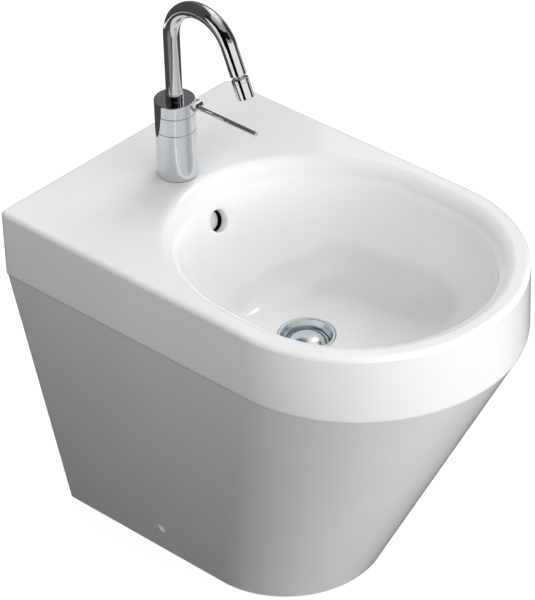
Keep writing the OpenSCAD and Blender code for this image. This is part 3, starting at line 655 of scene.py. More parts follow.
@dataclass
class ChinaBody(Assembly):
    """The one-piece china body: deck, rim, band, pedestal, basin and overflow channel."""

    width: float = 360
    depth: float = 536
    rim: float = 428
    band_h: float = 82
    side_len: float = 356
    foot_w: float = 220
    foot_d: float = 353
    foot_side_len: float = 243
    band_step: float = 2
    band_edge_r: float = 5
    rim_edge_r: float = 6
    corner_r: float = 8
    foot_edge: float = 2
    fillet_low: float = 0.9
    fillet_mid: float = 0.35
    fillet_top: float = 0.05
    fillet_in: float = 0.08
    band_tuck: float = 0.25
    wall: float = 10
    deck_t: float = 13
    service_h: float = 290
    service_w: float = 150
    service_r: float = 30
    service_round: float = 3.0
    rim_flat: float = 14
    back_flat: float = 1.5
    roll_r: float = 20
    back_roll_r: float = 32
    back_roll_turn: float = 65
    back_lean: float = 52
    deck_len: float = 119
    back_round: float = 310
    basin_depth: float = 132
    fullness: float = 2.6
    under_grow: float = 22
    under_extra: float = 2
    overflow_d: float = 24.5
    overflow_drop: float = 38.2
    overflow_in: float = 36
    overflow_tilt: float = 21
    overflow_flare: float = 3.0
    mouth_spread: float = 3.5
    mouth_fall: float = 1.3
    web_r: float = 11
    web_drop: float = 15.6
    gap_out: float = 3.2
    lip_t: float = 10.3
    channel_in: float = 33
    channel_d: float = 16
    channel_wall: float = 5
    channel_back: float = 3
    channel_lift: float = 1
    channel_fall: float = 28
    boss_extra: float = 1.5
    boss_round: float = 2.0
    drain_from_wall: float = 279
    drain_hole_r: float = 23
    collar_h: float = 42
    collar_bevel: float = 2
    flange_r: float = 31.5
    flange_margin: float = 1.5
    flange_gap: float = 0.6
    flange_lip: float = 0.8
    flange_recess: float = 2.1
    cone_depth: float = 14
    seat_depth: float = 16.5
    ledge_r: float = 28
    cut_past: float = 6
    tap_from_wall: float = 95
    tap_hole_r: float = 17.5
    screw_from_wall: float = 156
    screw_z: float = 35.5
    sleeve_r: float = 5.6
    spot_r: float = 7.8
    spot_sink: float = 0.3
    corner_steps: int = 26
    side_steps: int = 10
    front_steps: int = 104
    pedestal_steps: int = 12

    def __post_init__(self) -> None:
        """Works out the places that several methods share."""
        self.wall_y = self.depth / 2
        self.round_y = self.wall_y - self.side_len
        self.drain_y = self.wall_y - self.drain_from_wall
        self.drain_z = self.rim - self.basin_depth
        self.band_z = self.rim - self.band_h
        self.under_deck = self.rim - self.deck_t
        self.back_roll_end = math.radians(self.back_roll_turn)
        self.back_roll_in = self.back_roll_r * math.sin(self.back_roll_end)
        self.back_wall_y = self.wall_y - self.deck_len - self.channel_in
        self.channel_y = self.back_wall_y + self.wall + self.channel_d / 2 + self.channel_back
        self.overflow_z = self.rim - self.overflow_drop
        self.collar_z = self.drain_z - self.collar_h
        self.collar_r = self.drain_hole_r + self.wall

    def band(self, inset: float, z: float) -> Level:
        """Gives a level of the band.

        Args:
            inset: How far it is drawn in.
            z: Its height.

        Returns:
            The level.
        """
        corner = max(1.0, self.corner_r - inset)
        return Level(self.width / 2 - inset, self.depth - self.side_len - inset, self.round_y,
                     self.wall_y - inset, corner, corner, z, z)

    def pedestal(self, share: float, inset: float, z: float) -> Level:
        """Gives a level of the pedestal.

        Args:
            share: Where it is, from the foot at 0 to the band at 1.
            inset: How far it is drawn in.
            z: Its height.

        Returns:
            The level.
        """
        corner = max(1.0, self.corner_r - inset)
        top = self.band_step + inset
        return Level(
            blend_of(self.foot_w / 2 - inset, self.width / 2 - top, share),
            blend_of(self.foot_d - self.foot_side_len - inset, self.depth - self.side_len - top, share),
            blend_of(self.wall_y - self.foot_side_len, self.round_y, share),
            self.wall_y - inset, corner, corner, z, z)

    def roll(self, angle: float) -> Level:
        """Gives a level of the roll from the rim, at angle 0, into the wall of the basin.

        Args:
            angle: From 0 at the rim to a quarter turn, where the sides and front are upright. The back
                turns less, and leans there.

        Returns:
            The level.
        """
        back_angle = angle * self.back_roll_end / QUARTER
        side, back = self.roll_r * math.sin(angle), self.back_roll_r * math.sin(back_angle)
        half = self.width / 2 - self.rim_flat - side
        edge = self.wall_y - self.deck_len - back
        return Level(
            half, self.depth - self.side_len - self.rim_flat - side, self.round_y, edge,
            half - self.back_flat, edge - (self.wall_y - self.back_round),
            self.rim - self.roll_r * (1 - math.cos(angle)),
            self.rim - self.back_roll_r * (1 - math.cos(back_angle)))

    def bowl(self, angle: float, grow: float, back_grow: float, top: Point, low: float, hole_r: float,
             lean: float = 0.0) -> Level:
        """Gives a level of a bowl that closes to a round hole.

        Args:
            angle: 0 at the bowl's upright wall and a quarter turn at its hole.
            grow: How far the bowl is larger than the basin at the sides and front.
            back_grow: How far it is larger at the back.
            top: Height of its upright wall at the sides and at the back.
            low: Height of its floor.
            hole_r: Radius of its hole.
            lean: How strongly its back leans in below the roll.

        Returns:
            The level.
        """
        inwards = 1 - math.cos(angle) ** (2 / self.fullness)
        down = math.sin(angle) ** (2 / self.fullness)
        half = blend_of(self.width / 2 - self.rim_flat - self.roll_r + grow, hole_r, inwards)
        front = blend_of(self.depth - self.side_len - self.rim_flat - self.roll_r + grow, hole_r, inwards)
        centre = blend_of(self.wall_y - self.back_round, self.drain_y + self.back_flat, inwards)
        back_r = blend_of(self.back_round - self.deck_len - self.back_roll_in + back_grow, hole_r, inwards)
        back_r -= lean * down * (1 - down)
        return Level(
            half, front, blend_of(self.round_y, self.drain_y - self.back_flat, inwards), centre + back_r,
            half - self.back_flat, back_r, blend_of(top[0], low, down), blend_of(top[1], low, down))

    def glazed_levels(self) -> list[Level]:
        """Lists the glazed levels, from the foot up over the rim and down to the waste.

        Returns:
            The levels in order.
        """
        edge, under, over = self.foot_edge, self.band_edge_r, self.rim_edge_r
        levels = [self.pedestal(0, edge * inward, edge * short) for inward, short in quarter(90, 0, 4)]
        high = self.band_z - self.fillet_low
        shares = [i / self.pedestal_steps for i in range(1, self.pedestal_steps + 1)]
        levels += [self.pedestal(share, 0, blend_of(edge, high, share)) for share in shares]
        # Three narrow strips fill the corner between the pedestal and the band's underside.
        levels += [self.pedestal(1, 0, self.band_z - self.fillet_mid),
                   self.band(self.band_step - self.fillet_in, self.band_z - self.fillet_top)]
        tuck = self.band_step - self.band_tuck
        levels += [self.band(tuck * inward, self.band_z + under * short)
                   for inward, short in quarter(80, 0, 9)]
        levels += [self.band(over * inward, self.rim - over * short) for inward, short in quarter(0, 90, 12)]
        levels += [self.roll(a) for a in arc_steps(0, 90, 24)]
        top = (self.rim - self.roll_r, self.rim - self.back_roll_r * (1 - math.cos(self.back_roll_end)))
        hole = self.flange_r + self.flange_margin
        # The bowl's first and last levels are left out: the roll and the lip of the waste's recess are there.
        levels += [self.bowl(a, 0, 0, top, self.drain_z, hole, self.back_lean)
                   for a in arc_steps(2.5, 89.5, 36)]
        lip, rim_r = self.flange_lip, self.flange_r + self.flange_gap
        levels += [Level.circle(rim_r + lip * short, self.drain_y, self.drain_z - lip * inward)
                   for inward, short in quarter(0, 90, 5)]
        return levels

    def bare_levels(self) -> list[Level]:
        """Lists the bare levels, from the waste's seat down the collar, under the bowl and down inside.

        Returns:
            The levels in order.
        """
        hole_r, bevel = self.drain_hole_r, self.collar_bevel
        levels = [Level.circle(r, self.drain_y, self.drain_z - drop) for r, drop in (
            (self.flange_r + self.flange_gap, self.flange_recess), (self.ledge_r, self.cone_depth),
            (self.ledge_r, self.seat_depth), (hole_r, self.seat_depth),
            (hole_r, self.collar_h - bevel / 2), (hole_r + bevel / 2, self.collar_h),
            (self.collar_r - bevel, self.collar_h), (self.collar_r, self.collar_h - bevel))]
        top = (self.under_deck, self.under_deck)
        back_grow = self.under_grow + self.back_roll_in - self.channel_in
        low = self.drain_z - self.wall - self.under_extra
        levels += [self.bowl(a, self.wall, back_grow, top, low, self.collar_r) for a in arc_steps(89, 0, 20)]
        levels += [self.band(self.wall, self.under_deck), self.pedestal(1, self.wall, self.band_z),
                   self.pedestal(0, self.wall, 0)]
        return levels

    def skin(self) -> Mesh:
        """Wraps one sheet round all the levels, so that it closes on itself both ways.

        Returns:
            The closed mesh, with the bare faces under material 1.
        """
        glazed = self.glazed_levels()
        levels = glazed + self.bare_levels()
        rings = [level.points(self.corner_steps, self.side_steps, self.front_steps) for level in levels]
        columns, rows = len(rings[0]), len(rings)
        mesh = bmesh.new()
        bmesh.ops.create_grid(mesh, x_segments=columns, y_segments=rows, size=1)
        for face in mesh.faces:
            row = int((face.calc_center_median().y + 1) / 2 * rows)
            face.material_index = 0 if row < len(glazed) else 1
        for vert in mesh.verts:
            column = round((vert.co.x + 1) / 2 * columns)
            row = round((vert.co.y + 1) / 2 * rows)
            vert.co = rings[row % rows][column % columns]
        bmesh.ops.remove_doubles(mesh, verts=mesh.verts, dist=WELD)
        bmesh.ops.recalc_face_normals(mesh, faces=mesh.faces)
        return mesh

    def channel(self, diameter: float, beyond: float, work: Carve, index: int) -> list[Tool]:
        """Makes the overflow's channel: down behind the basin, round a bend and under it to the waste.

        Args:
            diameter: Diameter of the channel, or of its outside.
            beyond: How far the lower run goes past its end.
            work: Whether it is added or cut.
            index: Material index of its faces.

        Returns:
            The tools.
        """
        end_z = self.collar_z + self.channel_d / 2 + self.channel_wall + self.channel_lift
        end = Vector((0, self.drain_y + self.collar_r - self.channel_wall, end_z))
        bend = Vector((0, self.channel_y, end.z + self.channel_fall))
        run = end - bend
        slope = math.degrees(math.atan2(-run.y, run.z))
        r = diameter / 2
        # The three differ a little in radius and in steps, so that no two of their faces coincide.
        ball_r, run_r = r + 0.3, r - 0.2
        ball = Outline().arc(0, 0, ball_r, -90, 90, 16)
        return [
            Tool(rod(r, bend.z, self.overflow_z, steps=48), at(0, self.channel_y, 0), work, index),
            Tool(lathe(ball, steps=48), at(*bend), work, index),
            Tool(rod(run_r, 0, run.length + beyond, steps=44), at(*bend) @ turned(slope, "X"), work, index),
        ]

    def overflow_tools(self) -> list[Tool]:
        """Makes the cutters of the overflow hole: its mouth with a soft lip, and the gap round its inner web.

        The web, which stands just behind the hole, catches the light; the gap leads into the channel. The
        gap's walls get material 2, a near-black painted shade for the darkness behind the hole.

        Returns:
            The tools.
        """
        r, flare, out, gap_start = self.overflow_d / 2, self.overflow_flare, 30, 0.5
        face_y = self.wall_y - self.deck_len - self.overflow_in
        reach = self.channel_y - face_y
        web_z = reach - self.web_drop
        mouth = Outline().to(0, web_z).to(r, web_z).arc(r + flare, reach - flare, flare, 180, 95, 7)
        wide = r + flare + self.mouth_spread
        mouth.to(wide, reach + self.mouth_fall).to(wide, reach + out).to(0, reach + out)
        gap = Outline().to(self.web_r, gap_start).to(r + self.gap_out, gap_start)
        gap.to(r + self.gap_out, reach - self.lip_t).to(self.web_r, reach - self.lip_t)
        place = at(0, face_y, self.overflow_z) @ turned(90 - self.overflow_tilt, "X") @ at(0, 0, -reach)
        # The gap's faces take material 2, the near-black painted shade.
        return [Tool(lathe(gap, closed=True, steps=64), place, index=2), Tool(lathe(mouth, steps=64), place)]

    def service_tool(self) -> Tool:
        """Makes the cutter of the service opening, with edges that round over at the back face.

        Returns:
            The tool.
        """
        rounding, below, out, widening = self.service_round, 5, 2.0, 1.2
        steps = [(-self.wall - self.cut_past, 0.0)]
        steps += [(-rounding * short, rounding * inward) for inward, short in quarter(0, 80, 5)]
        steps.append((out, rounding * widening))
        rings = []
        for depth, grow in steps:
            half, top, r = self.service_w / 2 + grow, self.service_h + grow, self.service_r
            arch = [(-half, -below)]
            arch += [(-half + r * inward, top - r * short) for inward, short in quarter(0, 90, 8)]
            arch += [(-x, z) for x, z in reversed(arch)]
            rings.append([Vector((x, self.wall_y + depth, z)) for x, z in arch])
        return Tool(loft(rings), index=1)

    def side_tools(self) -> list[Tool]:
        """Makes the cutters of the two side holes and of the flat spots sunk round them.

        Returns:
            The tools.
        """
        lean = (self.width / 2 - self.band_step - self.foot_w / 2) / (self.band_z - self.foot_edge)
        lowest = self.screw_z - self.spot_r - self.foot_edge
        spot_x = self.foot_w / 2 + lean * lowest - self.spot_sink
        start, end = spot_x - 2 * self.wall, spot_x + self.wall
        tools = []
        for side in (-1, 1):
            place = at(0, self.wall_y - self.screw_from_wall, self.screw_z) @ turned(90 * side, "Y")
            outline = Outline().to(0, start).to(self.sleeve_r, start).to(self.sleeve_r, spot_x)
            outline.to(self.spot_r, spot_x).to(self.spot_r, end).to(0, end)
            tools.append(Tool(lathe(outline, steps=56), place))
        return tools

    def build(self) -> None:
        """Makes the china body."""
        boss_end = self.channel_y + self.channel_d / 2 + self.channel_wall + self.boss_extra
        boss_r = self.overflow_d / 2 + self.gap_out + self.channel_wall - self.boss_extra
        boss = rod(boss_r, 0, self.wall + self.channel_d, self.boss_round)
        tap_hole = rod(self.tap_hole_r, self.under_deck - PAST, self.rim + PAST)
        tools = [
            *self.channel(self.channel_d + 2 * self.channel_wall, 0, Carve.ADD, 1),
            Tool(boss, at(0, boss_end, self.overflow_z) @ turned(90, "X"), Carve.ADD, 1),
            # The channel's inside takes material 2, the near-black painted shade of its depths.
            *self.channel(self.channel_d, self.wall + self.cut_past, Carve.CUT, 2),
            *self.overflow_tools(),
            Tool(tap_hole, at(0, self.wall_y - self.tap_from_wall, 0)),
            self.service_tool(),
            *self.side_tools(),
        ]
        # The third finish is painted shade: near black, for the depths of the overflow's channel.
        self.put("ceramic_body", self.skin(), IDENTITY, tools, (GLAZE, BISQUE, PAINTED_SHADE_CHINA))


# ---------------------------------------------------------------- waste


@dataclass
class WasteFittings(Assembly):
    """The chromed waste with its threaded tail and its domed plug. The brass nut under the china is not made
    here.
    """

    y: float = -11
    z: float = 296
    flange_r: float = 31.5
    flange_t: float = 1.5
    under_in: float = 1
    under_drop: float = 0.4
    lip_r: float = 0.8
    bead_r: float = 0.9
    bead_in: float = 2.2
    bead_lift: float = 0.7
    dish_r: float = 24.4
    dish_depth: float = 10
    dish_slope: float = 148
    dish_round: float = 0.4
    seat_drop: float = 12.5
    ledge_r: float = 28
    ledge_gap: float = 0.8
    under: float = 14
    tail_r: float = 20.95
    bore_r: float = 17.75
    length: float = 92
    tip_h: float = 1
    pitch: float = 2.309
    thread_h: float = 0.95
    thread_from_tip: float = 3.2
    thread_from_ledge: float = 4.2
    spider_z: float = -44
    spider_h: float = 6
    spoke_t: float = 4
    hub_bore_r: float = 6
    hub_wall: float = 2.5
    window: float = 13
    window_z: float = -39.5
    window_round: float = 1.5
    plug_r: float = 23.2
    plug_tuck: float = 0.6
    plug_edge: float = 0.8
    plug_rise: float = 8
    plug_power: float = 3
    plug_drop: float = 9.5
    stem_r: float = 3
    stem_seat: float = 2.5

    def body_mesh(self) -> Mesh:
        """Turns the flange, the dish and the tail in one.

        Returns:
            The mesh, with z 0 at the flange's top.
        """
        lip, bead, root_r = self.lip_r, self.bead_r, self.tail_r - self.thread_h
        outline = Outline().to(self.bore_r, -self.seat_drop, EDGE)
        outline.to(self.dish_r, -self.seat_drop, self.dish_round)
        outline.arc(self.dish_r + bead, self.bead_lift - self.dish_depth, bead, 180, self.dish_slope, 4)
        outline.arc(self.flange_r - self.bead_in, -bead, bead, self.dish_slope, 90, 5)
        outline.arc(self.flange_r - lip, -lip, lip, 90, 0, 6)
        outline.to(self.flange_r, -self.flange_t)
        outline.to(self.flange_r - self.under_in, -self.flange_t - self.under_drop)
        outline.to(self.ledge_r - self.ledge_gap, -self.under, SOFT_EDGE).to(root_r, -self.under)
        outline.to(root_r, -self.length + self.tip_h, SOFT_EDGE)
        outline.to(root_r - self.thread_h, -self.length, EDGE)
        outline.to(self.bore_r, -self.length, EDGE)
        return lathe(outline, closed=True, steps=120)

    def body_tools(self, place: Matrix) -> list[Tool]:
        """Makes the tail's thread, the spider across it and the windows for the overflow water.

        Args:
            place: Where the waste's frame lies.

        Returns:
            The tools in order.
        """
        wind = thread(self.tail_r - self.thread_h, self.tail_r, -self.length + self.thread_from_tip,
                      -self.under - self.thread_from_ledge, self.pitch, steps=60)
        hub_r, hub_top = self.hub_bore_r + self.hub_wall, self.spider_z + self.spider_h
        hub = Outline().to(self.hub_bore_r, self.spider_z).to(hub_r, self.spider_z, SOFT_EDGE)
        hub.to(hub_r, hub_top, SOFT_EDGE).to(self.hub_bore_r, hub_top)
        tools = [Tool(wind, place, Carve.ADD)]
        # The spokes start inside the hub's wall and end as far inside the tail's.
        reach, bite = self.bore_r - self.hub_bore_r, 1
        middle = at(self.hub_bore_r + bite + reach / 2, 0, self.spider_z + self.spider_h / 2)
        for turn in (45, 135, 225, 315):
            spoke = block(reach, self.spoke_t, self.spider_h, SOFT_EDGE)
            tools.append(Tool(spoke, place @ turned(turn, "Z") @ middle, Carve.ADD))
        tools.append(Tool(lathe(hub, closed=True, steps=48), place, Carve.ADD))
        for turn in (0, 90):
            slot = block(2 * self.tail_r + 4 * PAST, self.window, self.window, self.window_round)
            middle = at(0, 0, self.window_z + self.window / 2)
            tools.append(Tool(slot, place @ turned(turn, "Z") @ middle))
        return tools

    def plug_mesh(self) -> Mesh:
        """Turns the domed plug with its rolled edge and the seat for the stem.

        Returns:
            The mesh, with z 0 at its underside.
        """
        outline = Outline().to(self.stem_r, 0).to(self.plug_r - self.plug_tuck, 0, EDGE)
        outline.dome(self.plug_r, self.plug_edge, self.plug_rise, self.plug_power, steps=30)
        seat = self.plug_rise - self.stem_seat
        outline.to(0, seat).to(self.stem_r, seat)
        return lathe(outline, closed=True, steps=128)

    def build(self) -> None:
        """Makes the waste and its plug."""
        place = at(0, self.y, self.z)
        self.put("waste_body", self.body_mesh(), place, self.body_tools(place), (SATIN_CHROME,))
        self.put("plug_dome", self.plug_mesh(), place @ at(0, 0, -self.plug_drop), (), (SATIN_CHROME,))


# ---------------------------------------------------------------- tap


@dataclass
class TapColumn(Assembly):
    """The mixer's upright: lower housing, control ring between two fine seams and top cap."""

    y: float = 173
    deck: float = 428
    radius: float = 22.5
    gasket_t: float = 1
    housing_h: float = 58.2
    ring_h: float = 21
    cap_h: float = 14.8
    seam: float = 0.4
    bore_r: float = 18.5
    bearing_r: float = 18.45
    bearing_h: float = 3.8
    cartridge_z: float = 22
    inlet_r: float = 4.5
    inlet_x: float = 7.2
    inlet_y: float = 5
    inlet_depth: float = 14
    port_r: float = 3
    stud_r: float = 4.02
    stud_y: float = -9.5
    stud_grip: float = 16
    riser_r: float = 6.02
    riser_bore_r: float = 4.2
    riser_stop: float = 1.1
    top_round: float = 0.9
    mouth_round: float = 0.25
    spout_bore_r: float = 8.05
    spout_bore_low: float = 82
    grub_z: float = 88
    grub_r: float = 2.02
    hub_r: float = 6
    hub_play: float = 0.4
    spindle_r: float = 4.05
    boss_r: float = 5.6
    boss_start: float = 13.6
    boss_len: float = 6
    boss_round: float = 0.4
    hub_start: float = 21.3

    def __post_init__(self) -> None:
        """Works out the heights of the seams."""
        self.ring_low = self.housing_h + self.seam / 2
        self.ring_high = self.housing_h + self.ring_h - self.seam / 2
        self.cap_low = self.housing_h + self.ring_h + self.seam / 2
        self.top = self.housing_h + self.ring_h + self.cap_h
        self.spindle_z = self.housing_h + self.ring_h / 2
        self.place = at(0, self.y, self.deck)

    def housing(self) -> None:
        """Makes the lower housing, with the hose inlets and the stud's hole in its base."""
        high = self.housing_h - self.seam / 2
        outline = Outline().to(0, self.gasket_t).to(self.radius, self.gasket_t, SOFT_EDGE)
        outline.to(self.radius, high, SEEN_EDGE).to(self.bore_r, high, FINE_EDGE)
        outline.to(self.bore_r, self.cartridge_z, EDGE).to(0, self.cartridge_z)
        low = self.gasket_t - PAST
        tools = []
        for side in (-1, 1):
            spot = self.place @ at(side * self.inlet_x, self.inlet_y, 0)
            inlet = rod(self.inlet_r, low, self.inlet_depth + PAST, steps=40)
            port = rod(self.port_r, self.inlet_depth, self.cartridge_z + PAST, steps=32)
            tools += [Tool(inlet, spot), Tool(port, spot)]
        stud_hole = rod(self.stud_r, low, self.gasket_t + self.stud_grip + PAST, steps=40)
        tools.append(Tool(stud_hole, self.place @ at(0, self.stud_y, 0)))
        self.put("tap_housing", lathe(outline, steps=160), self.place, tools)

    def ring(self) -> None:
        """Makes the control ring, with the bearing of the lever's spindle through its side."""
        low, high = self.ring_low, self.ring_high
        outline = Outline().to(self.bore_r, low, FINE_EDGE).to(self.radius, low, SEEN_EDGE)
        outline.to(self.radius, high, SEEN_EDGE).to(self.bore_r, high, FINE_EDGE)
        side = self.place @ at(0, 0, self.spindle_z) @ turned(90, "Y")
        boss = rod(self.boss_r, self.boss_start, self.boss_start + self.boss_len, self.boss_round, steps=48)
        bearing = rod(self.spindle_r, PAST, self.radius + PAST, steps=48)
        recess = rod(self.hub_r + self.hub_play, self.hub_start, self.hub_start + 4 * PAST)
        tools = [Tool(boss, side, Carve.ADD), Tool(bearing, side), Tool(recess, side)]
        self.put("control_ring", lathe(outline, closed=True, steps=160), self.place, tools)

    def cap(self) -> None:
        """Makes the top cap, polished on top, with the spout's bore and the grub screw's hole."""
        low = self.ring_high - self.bearing_h
        outline = Outline().to(self.riser_r, low, FINE_EDGE).to(self.bearing_r, low, EDGE)
        outline.to(self.bearing_r, self.cap_low).to(self.radius, self.cap_low, SEEN_EDGE)
        outline.to(self.radius, self.top, self.top_round).to(self.spout_bore_r, self.top, self.mouth_round)
        outline.to(self.spout_bore_r, self.spout_bore_low)
        outline.to(self.riser_bore_r, self.spout_bore_low, FINE_EDGE)
        stop = self.cap_low + self.riser_stop
        outline.to(self.riser_bore_r, stop).to(self.riser_r, stop)
        hole = rod(self.grub_r, PAST, self.radius + PAST, steps=32)
        tools = [Tool(hole, self.place @ at(0, 0, self.grub_z) @ turned(-90, "X"))]
        self.put("tap_top_cap", lathe(outline, closed=True, steps=160), self.place, tools)

    def build(self) -> None:
        """Makes the housing, the ring and the cap."""
        self.housing()
        self.ring()
        self.cap()


@dataclass
class SideLever(Assembly):
    """The lever: a hub on a spindle through the control ring, and a thin rod across it."""

    y: float = 173
    z: float = 496.7
    hub_r: float = 6
    hub_start: float = 21.6
    hub_reach: float = 38.5
    hub_round: float = 0.7
    spindle_r: float = 4
    spindle_start: float = 8.9
    clip_start: float = 12.4
    clip_w: float = 0.9
    clip_depth: float = 0.8
    crank_x: float = 10.8
    crank_r: float = 1.5
    crank_len: float = 13.7
    rod_x: float = 31.7
    rod_r: float = 2.65
    rod_back: float = 1.8
    rod_slack: float = 0.2
    rod_len: float = 83

    def build(self) -> None:
        """Makes the hub with its spindle and crank pin, and the rod."""
        place = at(0, self.y, self.z)
        groove_r, groove_end = self.spindle_r - self.clip_depth, self.clip_start + self.clip_w
        outline = Outline().to(0, self.spindle_start).to(self.spindle_r, self.spindle_start, EDGE)
        outline.to(self.spindle_r, self.clip_start).to(groove_r, self.clip_start)
        outline.to(groove_r, groove_end).to(self.spindle_r, groove_end)
        outline.to(self.spindle_r, self.hub_start).to(self.hub_r, self.hub_start, EDGE)
        outline.to(self.hub_r, self.hub_reach, self.hub_round).to(0, self.hub_reach)
        crank = rod(self.crank_r, -self.crank_len, 0, EDGE, steps=32)
        rod_hole = rod(self.rod_r + FIT, 0, 2 * self.hub_r, steps=48)
        tools = [
            Tool(crank, place @ at(self.crank_x, 0, 0), Carve.ADD),
            Tool(rod_hole, place @ at(self.rod_x, self.rod_back + self.rod_slack, 0) @ turned(90, "X")),
        ]
        self.put("lever_hub", lathe(outline, steps=96), place @ turned(90, "Y"), tools)
        whole = self.rod_back + self.hub_r + self.rod_len
        handle = Outline().to(0, 0).to(self.rod_r, 0, FINE_EDGE).to(self.rod_r, whole, SEEN_EDGE).to(0, whole)
        along = place @ at(self.rod_x, self.rod_back, 0) @ turned(90, "X")
        self.put("lever_rod", lathe(handle, steps=64), along)


# ---------------------------------------------------------------- spout


@dataclass
class Spout(Assembly):
    """The swivelling spout: turned foot, bent tube and the ball that the aerator turns on."""

    y: float = 173
    deck: float = 428
    tube_r: float = 9
    wall: float = 1.5
    bend_start: float = 173
    bend_r: float = 44
    bend_angle: float = 158
    end_len: float = 32
    foot_low: float = 82.4
    foot_r: float = 8
    foot_bore_r: float = 4.5
    cap_top: float = 94
    collar_r: float = 9.8
    collar_h: float = 8.6
    collar_gap: float = 0.3
    collar_round: float = 0.7
    plug_h: float = 7
    plug_round: float = 0.4
    # Each groove with its middle height, half its width and its depth: O-ring, grub screw, O-ring.
    grooves: tuple[Point3, ...] = ((84.4, 0.75, 1.1), (88, 2, 1), (91.8, 0.75, 1.1))
    ball_r: float = 7.5
    ball_drop: float = 6.9
    ball_plug_h: float = 7
    ball_neck_r: float = 5.2
    ball_bore_r: float = 3.6
    round_steps: int = 96
    riser_steps: int = 6
    bend_steps: int = 96
    end_steps: int = 4

    def __post_init__(self) -> None:
        """Works out the frames of the tap and of the bend's end, and the radius of what fits in the tube."""
        self.place = at(0, self.y, self.deck)
        self.plug_r = self.tube_r - self.wall - FIT
        turn = math.radians(self.bend_angle)
        end = at(0, -self.bend_r * (1 - math.cos(turn)), self.bend_start + self.bend_r * math.sin(turn))
        self.bend_end = self.place @ end @ turned(self.bend_angle, "X")
        self.ball = self.bend_end @ at(0, 0, self.end_len + self.ball_drop)

    def foot_mesh(self) -> Mesh:
        """Turns the foot: grooved spigot below, collar in sight and a plug up in the tube.

        Returns:
            The mesh, with z 0 at the deck.
        """
        outline = Outline().to(self.foot_bore_r, self.foot_low, FINE_EDGE)
        outline.to(self.foot_r, self.foot_low, SOFT_EDGE)
        for z, half, depth in self.grooves:
            outline.to(self.foot_r, z - half).to(self.foot_r - depth, z - half)
            outline.to(self.foot_r - depth, z + half).to(self.foot_r, z + half)
        base, top = self.cap_top + self.collar_gap, self.cap_top + self.collar_h
        shoulder = top - self.collar_gap
        outline.to(self.foot_r, base).to(self.collar_r, base, FINE_EDGE)
        outline.to(self.collar_r, shoulder, self.collar_round)
        outline.to(self.tube_r, top).to(self.plug_r, top)
        outline.to(self.plug_r, top + self.plug_h, EDGE).to(self.foot_bore_r, top + self.plug_h, EDGE)
        return lathe(outline, closed=True, steps=96)

    def tube_mesh(self) -> Mesh:
        """Sweeps the tube up, round the bend and down to the aerator, its wall and both ends closed.

        Returns:
            The mesh, in its place.
        """
        start = self.cap_top + self.collar_h
        stations = [self.place @ at(0, 0, blend_of(start, self.bend_start, i / self.riser_steps))
                    for i in range(self.riser_steps)]
        pivot = self.place @ at(0, -self.bend_r, self.bend_start)
        stations += [pivot @ turned(self.bend_angle * i / self.bend_steps, "X") @ at(0, self.bend_r, 0)
                     for i in range(self.bend_steps + 1)]
        stations += [self.bend_end @ at(0, 0, self.end_len * i / self.end_steps)
                     for i in range(1, self.end_steps + 1)]
        end, edge = stations[-1], 1.0
        outer = [(station, self.tube_r) for station in stations[:-1]]
        outer += [(end @ at(0, 0, -edge * short), self.tube_r - edge * inward)
                  for inward, short in quarter(0, 90, 6)]
        inner = [(station, self.tube_r - self.wall) for station in reversed(stations)]
        rings = [[station @ Vector((r * math.cos(a), r * math.sin(a), 0))
                  for a in arc_steps(0, 360, self.round_steps)[:-1]] for station, r in outer + inner]
        return loft(rings, closed=True)

    def ball_mesh(self) -> Mesh:
        """Turns the hollow ball with its neck and the plug that holds it in the tube.

        Returns:
            The mesh, with z 0 at the ball's middle.
        """
        low = -self.ball_drop
        outline = Outline().to(self.ball_bore_r, low - self.ball_plug_h, FINE_EDGE)
        outline.to(self.plug_r, low - self.ball_plug_h, self.plug_round)
        outline.to(self.plug_r, low).to(self.ball_neck_r, low)
        neck = math.degrees(math.acos(self.ball_neck_r / self.ball_r))
        mouth = math.degrees(math.acos(self.ball_bore_r / self.ball_r))
        outline.arc(0, 0, self.ball_r, -neck, mouth, 40)
        return lathe(outline, closed=True, steps=96)

    def build(self) -> None:
        """Makes the foot, the tube and the ball."""
        self.put("spout_foot", self.foot_mesh(), self.place)
        self.put("spout_tube", self.tube_mesh(), IDENTITY)
        self.put("swivel_ball", self.ball_mesh(), self.ball)


@dataclass
class Aerator(Assembly):
    """The tilting aerator: a socket ring screwed to a housing, with a fine seam between them."""

    ball: Matrix
    radius: float = 9.4
    length: float = 23
    lip_h: float = 4
    ring_h: float = 4.2
    seam_w: float = 0.2
    seam_round: float = 0.15
    shoulder: float = 1.3
    end_round: float = 0.8
    socket_r: float = 8.5
    seat_front: float = 3.6
    insert_r: float = 7.7

    def socket_arc(self, outline: Outline, low: float, high: float) -> None:
        """Adds the socket's inner curve to an outline, between two heights along the axis."""
        first, last = (math.degrees(math.asin(z / self.socket_r)) for z in (low, high))
        outline.arc(0, 0, self.socket_r, first, last, 8)

    def build(self) -> None:
        """Makes the socket ring and the housing."""
        seam = self.ring_h - self.lip_h
        ring, ring_end = Outline(), seam - self.seam_w
        self.socket_arc(ring, ring_end, -self.lip_h)
        ring.to(self.radius, -self.lip_h, self.shoulder).to(self.radius, ring_end, self.seam_round)
        self.put("socket_ring", lathe(ring, closed=True, steps=96), self.ball)
        bottom = self.length - self.lip_h
        housing = Outline()
        self.socket_arc(housing, self.seat_front, seam)
        housing.to(self.radius, seam, self.seam_round).to(self.radius, bottom, self.end_round)
        housing.to(self.insert_r, bottom, EDGE)
        housing.to(self.insert_r, self.seat_front)
        self.put("aerator_housing", lathe(housing, closed=True, steps=96), self.ball)


# ---------------------------------------------------------------- fixings


